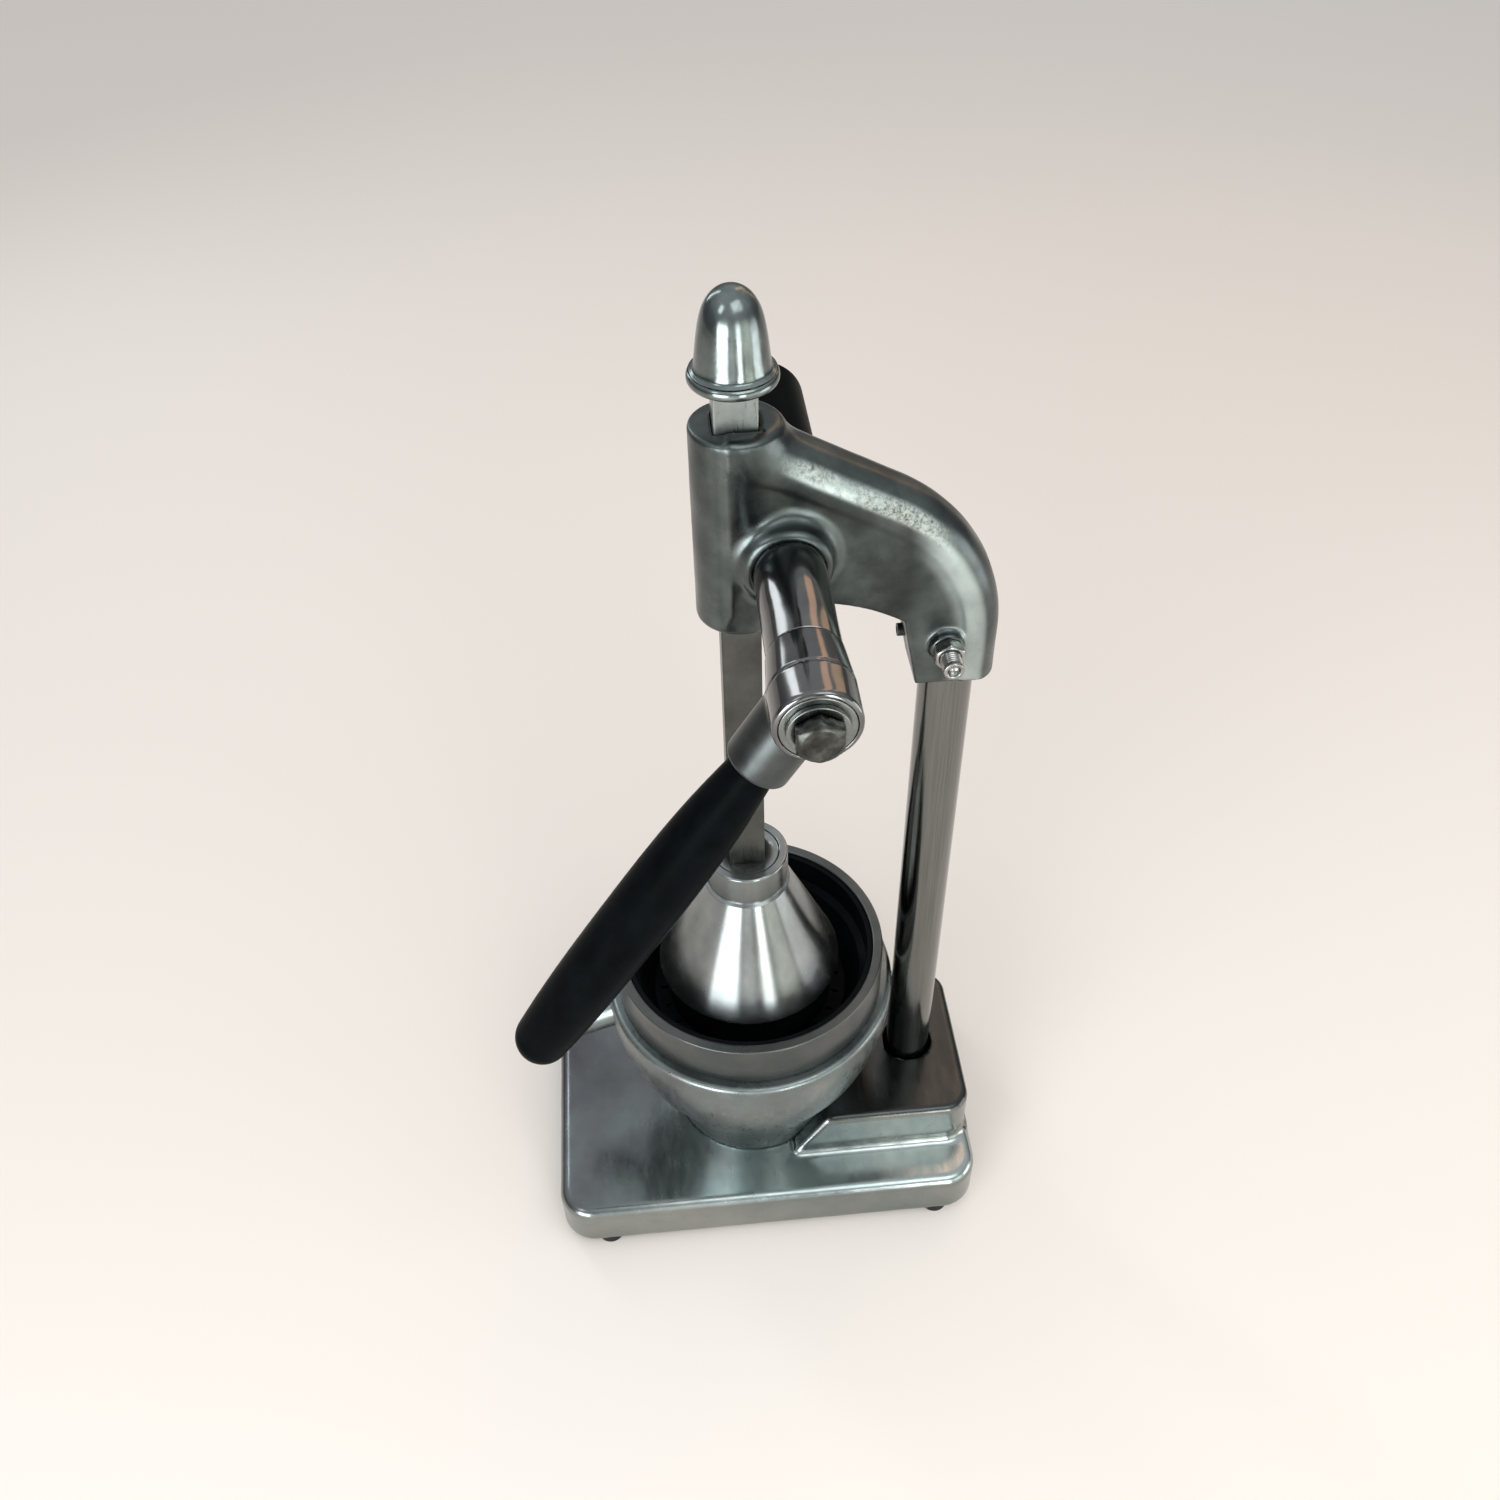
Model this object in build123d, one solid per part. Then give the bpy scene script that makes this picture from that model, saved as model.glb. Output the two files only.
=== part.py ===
# Hand-lever citrus press: a rack and pinion drives a cone down into a juice bowl.
# Millimetres. +Z is up, +X points to the lever's side, -Y is the front.
# The origin is on the table, under the axis of the press cone.
import os
from math import acos, atan, cos, pi, radians, sin, tan

from build123d import *

os.makedirs("parts", exist_ok=True)

# Base casting and feet
FOOT_HEIGHT = 8.0
SLAB_THICKNESS = 29.5
SLAB_INSET = 1.0
SLAB_FRONT = 121.0
SLAB_REAR = 128.5
SLAB_CORNER_R = 20.0
SLAB_EDGE_R = 6.0
SLAB_LOWER_EDGE_R = 1.5
CASTING_WALL = 6.0
PLATFORM_HEIGHT = 33.0
PLATFORM_ROOT = 10.0
PLATFORM_HALF_WIDTH = 51.5
PLATFORM_FRONT = 40.0
PLATFORM_FRONT_RUN = 19.0
PLATFORM_REAR_STEP = 2.0
PLATFORM_CORNER_R = 15.0
PLATFORM_EDGE_R = 4.0
FOOT_INSET = 9.0
FOOT_FRONT_Y = -93.5
FOOT_REAR_Y = 104.5
FOOT_TOP_R = 8.6
FOOT_TIP_R = 7.6
FOOT_EDGE_R = 1.5
FOOT_BOSS_R = 9.0
FOOT_BOSS_HEIGHT = 14.0
FOOT_SCREW_R = 2.5
FOOT_SCREW_HEAD_R = 4.6
FOOT_SCREW_HEAD_HEIGHT = 3.2
FOOT_SCREW_LENGTH = 14.0
SCREW_HEAD_GAP = 0.1
CUT_PAST = 1.0

# Column
COLUMN_R = 12.7
COLUMN_Y = 96.0
COLUMN_TOP = 440.0
COLUMN_TOP_BEVEL = 1.5
COLUMN_BASE_DEPTH = 44.0
COLUMN_BOSS_R = 22.0
COLUMN_RECESS_R = 15.0
COLUMN_RECESS_DEPTH = 2.5
COLUMN_BOLT_R = 6.0
COLUMN_BOLT_HEAD_ACROSS = 18.0
COLUMN_BOLT_HEAD_HEIGHT = 7.5
COLUMN_BOLT_REACH = 30.0
COLUMN_WASHER_R = 16.0
COLUMN_WASHER_THICKNESS = 2.5

# Juice pot on the base, with the basin at its top and a spout pipe at its front
POT_FOOT_R = 46.5
POT_SHOULDER_R = 81.0
POT_SHOULDER_Z = 148.0
POT_EDGE_R = 5.5
POT_TOP = 160.0
POT_WAIST_R = 56.9
POT_WAIST_Z = 70.0
POT_FLANK_R = 73.0
POT_FLANK_Z = 105.8
POT_WALL = 4.5
POT_POCKET_GAP = 0.3
BASIN_FLOOR_Z = 131.0
BASIN_FLOOR_THICKNESS = 6.0
BASIN_LEDGE = 4.0
BASIN_CORNER_R = 4.0
SPOUT_TILT = 22.0
SPOUT_R = 10.0
SPOUT_BORE_R = 7.0
SPOUT_EDGE_R = 1.2
SPOUT_BORE_BACK = 8.0
SPOUT_ROOT_INSET = 16.0
SPOUT_LENGTH = 39.0
SPOUT_Z = 136.0
POT_SCREW_R = 2.5
POT_SCREW_HEAD_R = 4.6
POT_SCREW_HEAD_HEIGHT = 3.2
POT_SCREW_GRIP = 9.0
POT_SCREW_CIRCLE_R = 40.0
POT_SCREW_PAD_R = 7.0
POT_SCREW_PAD_ROOF = 4.0

# Aluminium band, black strainer bowl and reamer
BAND_R = 74.7
BAND_INNER_R = 69.0
BAND_TOP = 182.5
BAND_LEDGE = 3.0
BAND_LEDGE_R = 65.0
BAND_EDGE_R = 1.5
STRAINER_GAP = 0.3
STRAINER_RIM_DROP = 1.5
STRAINER_WALL = 2.4
STRAINER_FLOOR_R = 57.0
STRAINER_FLOOR_Z = 145.0
STRAINER_SLOTS = 24
STRAINER_SLOT_WIDTH = 2.4
STRAINER_SLOT_LENGTH = 4.2
STRAINER_SLOT_INSET = 1.0
REAMER_BASE_R = 46.0
REAMER_BASE_THICKNESS = 2.5
REAMER_RIBS = 10
REAMER_RIB_WIDTH = 2.6
REAMER_RIB_PROUD = 2.6
REAMER_TOP_BELOW_SCREW = 5.0
REAMER_GAP = 4.4
REAMER_WALL = 3.2
REAMER_STEP = 0.5
REAMER_RIB_ROOT = 5.0
REAMER_SHOULDER = 0.6
REAMER_SHOULDER_DROP = 3.0

# Press cone with its collar and screw
CONE_R = 50.6
CONE_BOTTOM = 173.0
CONE_WALL = 2.0
COLLAR_R = 21.8
COLLAR_BOTTOM = 239.5
COLLAR_HEIGHT = 19.0
COLLAR_DISH_R = 17.5
COLLAR_DISH_DEPTH = 2.0
COLLAR_GROOVE_DEPTH = 0.8
COLLAR_GROOVE_WIDTH = 2.0
CONE_PLATE = 5.0
CONE_SCREW_R = 4.0
CONE_SCREW_HEAD_R = 7.0
CONE_SCREW_HEAD_HEIGHT = 4.0
CONE_SCREW_REACH = 18.0

# Rack bar and top knob
BAR_WIDTH = 18.0
BAR_EDGE = 0.8
BAR_TOP = 531.5
BAR_SPIGOT_R = 6.0
BAR_SPIGOT_LENGTH = 18.0
KNOB_FLANGE_R = 18.3
KNOB_FLANGE_THICKNESS = 5.5
KNOB_FLANGE_EDGE_R = 2.3
KNOB_HEIGHT = 39.0
KNOB_TIP_R = 11.6
KNOB_TAPER = 8.5

# Pinion and rack teeth
MODULE = 2.5
PINION_TEETH = 10
PRESSURE_ANGLE = 25.0
RACK_ADDENDUM = 2.0
PINION_ADDENDUM = 2.2
TOOTH_CLEARANCE = 0.35
TOOTH_BACKLASH = 0.16
PINION_LENGTH = 20.0
LEVER_TRAVEL = 270.0
RACK_SPARE_TEETH = 2

# Pinion shaft and its bushes
SHAFT_Z = 455.8
SHAFT_R = 7.0
SHAFT_RUNNING_GAP = 0.04
KEY_WIDTH = 4.0
KEY_HEIGHT = 3.4
HUB_KEY_LENGTH = 24.0
PINION_KEY_INSET = 2.0
BUSH_R = 9.5
FAR_BUSH_LENGTH = 22.0
SLEEVE_R = 15.3
SLEEVE_END = 79.0
SLEEVE_BEVEL = 0.6
SLEEVE_BUSH_LENGTH = 26.0
THRUST_GAP = 0.5

# Head casting
HEAD_R = 19.0
HEAD_BOTTOM = 418.5
HEAD_TOP = 513.0
HEAD_TOP_EDGE_R = 2.5
HEAD_LOWER_EDGE_R = 1.0
BAR_GUIDE_GAP = 0.1
ARM_HALF_WIDTH = 15.2
ARM_EDGE_R = 12.0
ARM_UNDER_EDGE_R = 2.5
ARM_SLOPE = 28.7
ARM_RIDGE_DROP = 2.0
ARM_BEND_R = 89.5
ARM_BEND_Z = 402.0
ARM_UNDER_Z = 415.0
ARM_UNDER_DROP = 14.0
ARM_UNDER_RUN = 42.0
ARM_UNDER_MID_RUN = 0.4
ARM_UNDER_MID_DROP = 0.7
BOSS_BOTTOM = 378.0
BOSS_FRONT_WALL = 4.6
BOSS_FRONT_RUN = 7.2
BOSS_REAR_WALL = 8.2
ROOT_BOSS_R = 19.0
ROOT_BOSS_END = 25.0
ROOT_BOSS_EDGE_R = 3.5
FAR_BOSS_R = 17.0
FAR_BOSS_END = 100.0
LOCK_SCREW_Z = 402.0
LOCK_SCREW_OFFSET = 5.0
LOCK_SCREW_R = 4.5
LOCK_SCREW_END = 34.0
LOCK_SCREW_BEVEL = 0.8
LOCK_SOCKET_ACROSS = 5.0
LOCK_SOCKET_DEPTH = 4.0
LOCK_PAD_R = 8.5
LOCK_PAD_END = 19.0
LOCK_PAD_EDGE_R = 1.5
LOCK_NUT_ACROSS = 13.0
LOCK_NUT_HEIGHT = 6.5
FRONT_SCREW_Z = 400.0
FRONT_SCREW_R = 3.0
FRONT_SCREW_PROUD = 3.0
FRONT_SOCKET_ACROSS = 3.0
FRONT_SOCKET_DEPTH = 3.0

# Black cover on the far end of the shaft boss
COVER_R = 22.0
COVER_END_R = 21.6
COVER_START = 34.0
COVER_END = 111.7
COVER_EDGE_R = 2.0
COVER_SCREW_R = 2.5
COVER_SCREW_HEAD_R = 4.6
COVER_SCREW_HEAD_HEIGHT = 3.2
COVER_SCREW_DEPTH = 12.0
COVER_SCREW_GAP = 0.4
COVER_SCREW_SUNK = 1.0
COVER_SCREW_END_GAP = 2.0

# Lever: hub, socket, rod, grip and end bolt
LEVER_ANGLE = 58.8
HUB_R = 17.4
HUB_BACK_R = 15.8
HUB_GAP = 0.4
HUB_END = 119.0
HUB_GROOVE_X = 100.0
HUB_GROOVE = 0.7
HUB_EDGE = 1.6
HUB_RECESS_R = 15.0
HUB_RECESS_DEPTH = 2.0
SOCKET_R = 14.0
SOCKET_LENGTH = 41.0
SOCKET_EDGE_R = 1.5
SOCKET_BORE_R = 9.8
SOCKET_BORE_DEPTH = 10.0
ROD_R = 6.0
ROD_START = 12.0
ROD_END = 208.0
GRIP_ROOT_R = 9.6
GRIP_ROUND_START = 68.0
GRIP_BELLY_R = 15.0
GRIP_TIP_R = 13.2
GRIP_LENGTH = 254.0
HUB_WASHER_R = 14.6
HUB_WASHER_THICKNESS = 2.0
HUB_WASHER_BEVEL = 0.5
SPRING_WASHER_R = 12.2
SPRING_WASHER_THICKNESS = 2.4
SPRING_WASHER_SLIT = 1.6
SPRING_WASHER_BEVEL = 0.4
HUB_BOLT_ACROSS = 18.0
HUB_BOLT_HEAD_HEIGHT = 7.0
HUB_BOLT_FACE_R = 7.2
HUB_BOLT_BEVEL = 0.6
HUB_BOLT_R = 4.0
HUB_BOLT_REACH = 22.0

# Places that follow from the sizes
slab_half_width = POT_SHOULDER_R - SLAB_INSET
foot_x = slab_half_width - FOOT_INSET
slab_top = FOOT_HEIGHT + SLAB_THICKNESS
platform_top = slab_top + PLATFORM_HEIGHT
column_bottom = platform_top - COLUMN_BASE_DEPTH
spout_root_y = POT_SHOULDER_R - SPOUT_ROOT_INSET
pinion_pitch_r = MODULE * PINION_TEETH / 2
tooth_pitch = pi * MODULE
rack_pitch_y = BAR_WIDTH / 2 - RACK_ADDENDUM
shaft_y = rack_pitch_y + pinion_pitch_r
pinion_root_r = pinion_pitch_r - RACK_ADDENDUM - TOOTH_CLEARANCE
pinion_tip_r = pinion_pitch_r + PINION_ADDENDUM
rack_travel = radians(LEVER_TRAVEL) * pinion_pitch_r
collar_top = COLLAR_BOTTOM + COLLAR_HEIGHT
cone_plate_bottom = COLLAR_BOTTOM - CONE_PLATE
hub_mid_x = (SLEEVE_END + HUB_GAP + HUB_END) / 2
hub_washer_face = HUB_END - HUB_RECESS_DEPTH + HUB_WASHER_THICKNESS
cone_slope = (CONE_R - COLLAR_R) / (COLLAR_BOTTOM - CONE_BOTTOM)
cone_skin = CONE_WALL / cos(atan(cone_slope))
sleeve_start = PINION_LENGTH / 2 + THRUST_GAP
shaft_near_end = HUB_END - HUB_RECESS_DEPTH - 1
boss_front = COLUMN_Y - COLUMN_R - BOSS_FRONT_WALL
boss_rear = COLUMN_Y + COLUMN_R + BOSS_REAR_WALL
lock_screw_y = COLUMN_Y - LOCK_SCREW_OFFSET
cover_screw_seat = -COVER_END + COVER_SCREW_HEAD_HEIGHT + COVER_SCREW_SUNK
lever_down = radians(LEVER_ANGLE)
handle_frame = Plane(
    origin=(hub_mid_x, shaft_y, SHAFT_Z),
    x_dir=(1, 0, 0),
    z_dir=(0, -cos(lever_down), -sin(lever_down)),
)


def save(name, shape):
    """One STEP file for one sub-part."""
    shape.label = name
    export_step(shape, f"parts/{name}.step")


def group(solids):
    """Identical pieces that share one node."""
    return Compound(children=list(solids))


def along_x(x_from, x_to, radius, y=0.0, z=0.0):
    """A cylinder parallel to X between two places."""
    length = x_to - x_from
    return Pos((x_from + x_to) / 2, y, z) * Rot(0, 90, 0) * Cylinder(radius, length)


def upright(x, y, z_from, z_to, radius):
    """A cylinder parallel to Z between two heights."""
    return Pos(x, y, (z_from + z_to) / 2) * Cylinder(radius, z_to - z_from)


def turned(points_of_line):
    """A solid of revolution about Z from a closed outline in the XZ plane."""
    return revolve(make_face(Plane.XZ * points_of_line), Axis.Z)


def outline(*points):
    """A closed polyline."""
    return Polyline(*points, close=True)


def hex_prism(across, height):
    """A hexagonal prism standing on z = 0."""
    return extrude(RegularPolygon(across / 2, 6, major_radius=False), height)


def pan_screw(head_r, head_height, shank_r, shank_length):
    """A pan head screw, head down from z = 0 and shank up."""
    head = Pos(0, 0, -head_height / 2) * Cylinder(head_r, head_height)
    head = fillet(head.edges().group_by(Axis.Z)[0], head_height * 0.45)
    slot_depth = head_height * 0.4
    cross = Box(head_r, shank_r * 0.4, slot_depth) + Box(shank_r * 0.4, head_r, slot_depth)
    head -= Pos(0, 0, -head_height + slot_depth / 2) * cross
    return head + Pos(0, 0, shank_length / 2) * Cylinder(shank_r, shank_length)


def rounded_slab(half_width, front, rear, z_from, z_to, corner_r):
    """A block with rounded upright corners."""
    block = Pos(0, (rear - front) / 2, z_from) * extrude(
        RectangleRounded(2 * half_width, front + rear, corner_r), z_to - z_from
    )
    return block


def pot_radius_line(extra):
    """The pot's bowl-shaped outer wall, from its foot to its top, grown by extra."""
    return Spline(
        (POT_FOOT_R + extra, slab_top),
        (POT_WAIST_R + extra, POT_WAIST_Z),
        (POT_FLANK_R + extra, POT_FLANK_Z),
        (POT_SHOULDER_R + extra, POT_SHOULDER_Z),
        tangents=((0.25, 1), (0, 1)),
    )


def pot_outer(extra):
    """The pot's outside as a solid, grown sideways by extra, with a rounded top edge."""
    flare = pot_radius_line(extra)
    rim_r = POT_SHOULDER_R + extra
    edge_z = POT_TOP - POT_EDGE_R
    edge_share = 1 - cos(pi / 4)
    edge_mid = (rim_r - POT_EDGE_R * edge_share, POT_TOP - POT_EDGE_R * edge_share)
    neck = Line(flare @ 1, (rim_r, edge_z))
    edge = ThreePointArc((rim_r, edge_z), edge_mid, (rim_r - POT_EDGE_R, POT_TOP))
    rest = Polyline(edge @ 1, (0, POT_TOP), (0, slab_top), flare @ 0)
    return turned(flare + neck + edge + rest)


def foot_places():
    """The four places where a foot sits under the slab."""
    return [(x, y) for x in (-foot_x, foot_x) for y in (FOOT_FRONT_Y, FOOT_REAR_Y)]


def pot_screw_places():
    """Three screws under the pot's foot, clear of the platform's walls."""
    angles = [radians(a) for a in (30, 150, 270)]
    return [(POT_SCREW_CIRCLE_R * cos(a), POT_SCREW_CIRCLE_R * sin(a)) for a in angles]


def make_base():
    """The casting: a slab, hollow below, with a raised solid platform that carries the column."""
    slab = rounded_slab(
        slab_half_width, SLAB_FRONT, SLAB_REAR, FOOT_HEIGHT, slab_top, SLAB_CORNER_R
    )
    slab = fillet(slab.edges().group_by(Axis.Z)[-1], SLAB_EDGE_R)
    slab = fillet(slab.edges().group_by(Axis.Z)[0], SLAB_LOWER_EDGE_R)

    rear = SLAB_REAR - PLATFORM_REAR_STEP
    front_low = PLATFORM_FRONT - PLATFORM_FRONT_RUN
    side_view = Plane.YZ * outline(
        (front_low - PLATFORM_ROOT * PLATFORM_FRONT_RUN / PLATFORM_HEIGHT, slab_top - PLATFORM_ROOT),
        (front_low, slab_top),
        (PLATFORM_FRONT, platform_top),
        (rear, platform_top),
        (rear, slab_top - PLATFORM_ROOT),
    )
    platform = extrude(make_face(side_view), PLATFORM_HALF_WIDTH, both=True)
    rear_corners = platform.edges().filter_by(Axis.Z).group_by(Axis.Y)[-1]
    platform = fillet(rear_corners, PLATFORM_CORNER_R)
    platform = fillet(platform.edges().group_by(Axis.Z)[-1], PLATFORM_EDGE_R)

    inner_slab = rounded_slab(
        slab_half_width - CASTING_WALL,
        SLAB_FRONT - CASTING_WALL,
        SLAB_REAR - CASTING_WALL,
        FOOT_HEIGHT - 1,
        slab_top - CASTING_WALL,
        SLAB_CORNER_R - CASTING_WALL,
    )
    column_boss = upright(0, COLUMN_Y, column_bottom - CASTING_WALL, platform_top - 1, COLUMN_BOSS_R)
    bosses = [column_boss]
    for x, y in foot_places():
        low = FOOT_HEIGHT
        bosses.append(upright(x, y, low, low + FOOT_BOSS_HEIGHT + CASTING_WALL, FOOT_BOSS_R))
    base = slab + platform - inner_slab
    for boss in bosses:
        base += boss

    base -= pot_outer(POT_POCKET_GAP)
    base -= upright(0, COLUMN_Y, column_bottom, platform_top + 1, COLUMN_R)
    recess_floor = platform_top - COLUMN_RECESS_DEPTH
    base -= upright(0, COLUMN_Y, recess_floor, platform_top + 1, COLUMN_RECESS_R)
    base -= upright(0, COLUMN_Y, 0, column_bottom + 1, COLUMN_BOLT_R)
    for x, y in foot_places():
        base -= upright(x, y, 0, FOOT_HEIGHT + FOOT_SCREW_LENGTH, FOOT_SCREW_R)
    for x, y in pot_screw_places():
        base -= upright(x, y, 0, slab_top + 1, POT_SCREW_R)
    return base


def make_feet():
    """Four tapered rubber feet, each with a pocket for its screw head."""
    foot = Cone(FOOT_TIP_R, FOOT_TOP_R, FOOT_HEIGHT)
    foot = Pos(0, 0, FOOT_HEIGHT / 2) * foot
    foot = fillet(foot.edges().group_by(Axis.Z)[0], FOOT_EDGE_R)
    foot -= upright(0, 0, -1, FOOT_HEIGHT / 2, FOOT_SCREW_HEAD_R)
    foot -= upright(0, 0, -1, FOOT_HEIGHT + 1, FOOT_SCREW_R)
    return group(Pos(x, y, 0) * foot for x, y in foot_places())


def make_foot_screws():
    """A pan head screw up through each foot."""
    screw = pan_screw(
        FOOT_SCREW_HEAD_R - SCREW_HEAD_GAP, FOOT_SCREW_HEAD_HEIGHT, FOOT_SCREW_R, FOOT_SCREW_LENGTH
    )
    return group(Pos(x, y, FOOT_HEIGHT / 2) * screw for x, y in foot_places())


def make_column():
    """The steel column, with its top edge broken and its foot bored for the bolt."""
    column = upright(0, COLUMN_Y, column_bottom, COLUMN_TOP, COLUMN_R)
    column = chamfer(column.edges().group_by(Axis.Z)[-1], COLUMN_TOP_BEVEL)
    column -= upright(0, COLUMN_Y, column_bottom - 1, column_bottom + COLUMN_BOLT_REACH, COLUMN_BOLT_R)
    return column


def make_column_washer():
    """The washer under the column's boss, inside the hollow base."""
    top = column_bottom - CASTING_WALL
    washer = upright(0, COLUMN_Y, top - COLUMN_WASHER_THICKNESS, top, COLUMN_WASHER_R)
    return washer - upright(0, COLUMN_Y, 0, top + 1, COLUMN_BOLT_R)


def make_column_bolt():
    """The bolt that pulls the column down into the base."""
    head_top = column_bottom - CASTING_WALL - COLUMN_WASHER_THICKNESS
    head = Pos(0, COLUMN_Y, head_top - COLUMN_BOLT_HEAD_HEIGHT) * hex_prism(
        COLUMN_BOLT_HEAD_ACROSS, COLUMN_BOLT_HEAD_HEIGHT
    )
    return head + upright(0, COLUMN_Y, head_top, column_bottom + COLUMN_BOLT_REACH, COLUMN_BOLT_R)


def spout_cylinder(start, end, radius):
    """A cylinder along the spout's axis, from start to end past the spout's root."""
    place = Pos(0, -spout_root_y, SPOUT_Z) * Rot(90 + SPOUT_TILT, 0, 0)
    return place * Pos(0, 0, (start + end) / 2) * Cylinder(radius, end - start)


def whole_pot():
    """Bowl-shaped body on the slab: a basin above and a hollow pedestal below."""
    basin_r = BAND_LEDGE_R + BASIN_LEDGE
    basin = upright(0, 0, BASIN_FLOOR_Z, POT_TOP + 1, basin_r)
    basin = fillet(basin.edges().group_by(Axis.Z)[0], BASIN_CORNER_R)
    pot = pot_outer(0) - basin
    pot -= spout_cylinder(0, SPOUT_LENGTH, SPOUT_R)
    pot -= spout_cylinder(-SPOUT_BORE_BACK, 1, SPOUT_BORE_R)

    hollow_top = BASIN_FLOOR_Z - BASIN_FLOOR_THICKNESS
    pad_top = slab_top + POT_SCREW_GRIP + POT_SCREW_PAD_ROOF
    hollow = pot_outer(-POT_WALL) & upright(0, 0, slab_top - 1, hollow_top, POT_SHOULDER_R)
    for x, y in pot_screw_places():
        hollow -= upright(x, y, slab_top - 1, pad_top, POT_SCREW_PAD_R)
    pot -= hollow
    for x, y in pot_screw_places():
        pot -= upright(x, y, slab_top - 1, slab_top + POT_SCREW_GRIP, POT_SCREW_R)
    return pot


def make_pot():
    """The pot's lower casting: the hollow pedestal, closed by the basin's floor."""
    return whole_pot() & upright(0, 0, 0, BASIN_FLOOR_Z, POT_SHOULDER_R + POT_EDGE_R)


def make_pot_collar():
    """The pot's upper ring: the basin's wall, which carries the band."""
    return whole_pot() & upright(0, 0, BASIN_FLOOR_Z, POT_TOP + 1, POT_SHOULDER_R + POT_EDGE_R)


def make_spout():
    """The pipe pressed into the pot's front wall, through which the juice runs out."""
    pipe = spout_cylinder(0, SPOUT_LENGTH, SPOUT_R)
    pipe = fillet(pipe.edges().group_by(Axis.Y)[0], SPOUT_EDGE_R)
    return pipe - spout_cylinder(-1, SPOUT_LENGTH + 1, SPOUT_BORE_R)


def make_pot_screws():
    """Three screws up through the slab into the pot's foot."""
    screw = pan_screw(
        POT_SCREW_HEAD_R, POT_SCREW_HEAD_HEIGHT, POT_SCREW_R, CASTING_WALL + POT_SCREW_GRIP
    )
    low = slab_top - CASTING_WALL
    return group(Pos(x, y, low) * screw for x, y in pot_screw_places())


def make_band():
    """The polished ring round the bowl's mouth, with a ledge that carries the strainer."""
    ring = turned(
        outline(
            (BAND_LEDGE_R, POT_TOP),
            (BAND_R, POT_TOP),
            (BAND_R, BAND_TOP),
            (BAND_INNER_R, BAND_TOP),
            (BAND_INNER_R, POT_TOP + BAND_LEDGE),
            (BAND_LEDGE_R, POT_TOP + BAND_LEDGE),
        )
    )
    return fillet(ring.edges().group_by(Axis.Z)[-1], BAND_EDGE_R)


def make_strainer():
    """Black bowl inside the band, with drain slots round its floor."""
    outer_r = BAND_INNER_R - STRAINER_GAP
    rim_z = BAND_TOP - STRAINER_RIM_DROP
    ledge_z = POT_TOP + BAND_LEDGE
    neck_r = BAND_LEDGE_R - STRAINER_GAP
    floor_low = STRAINER_FLOOR_Z - STRAINER_WALL
    shell = turned(
        outline(
            (0, floor_low),
            (STRAINER_FLOOR_R, floor_low),
            (neck_r, ledge_z),
            (outer_r, ledge_z),
            (outer_r, rim_z),
            (outer_r - STRAINER_WALL, rim_z),
            (outer_r - STRAINER_WALL, ledge_z + STRAINER_WALL),
            (neck_r - STRAINER_WALL, ledge_z),
            (STRAINER_FLOOR_R - STRAINER_WALL, STRAINER_FLOOR_Z),
            (0, STRAINER_FLOOR_Z),
        )
    )
    slot_mid = REAMER_BASE_R + STRAINER_SLOT_INSET + STRAINER_SLOT_LENGTH / 2
    for i in range(STRAINER_SLOTS):
        turn = Rot(0, 0, i * 360 / STRAINER_SLOTS)
        slot = Box(STRAINER_SLOT_LENGTH, STRAINER_SLOT_WIDTH, 4 * STRAINER_WALL)
        shell -= turn * Pos(slot_mid, 0, STRAINER_FLOOR_Z) * slot
    return shell


def reamer_radius(z):
    """The reamer's flank, parallel to the inside of the press cone."""
    inner = CONE_R - cone_skin - (z - CONE_BOTTOM) * cone_slope
    return inner - REAMER_GAP


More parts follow.
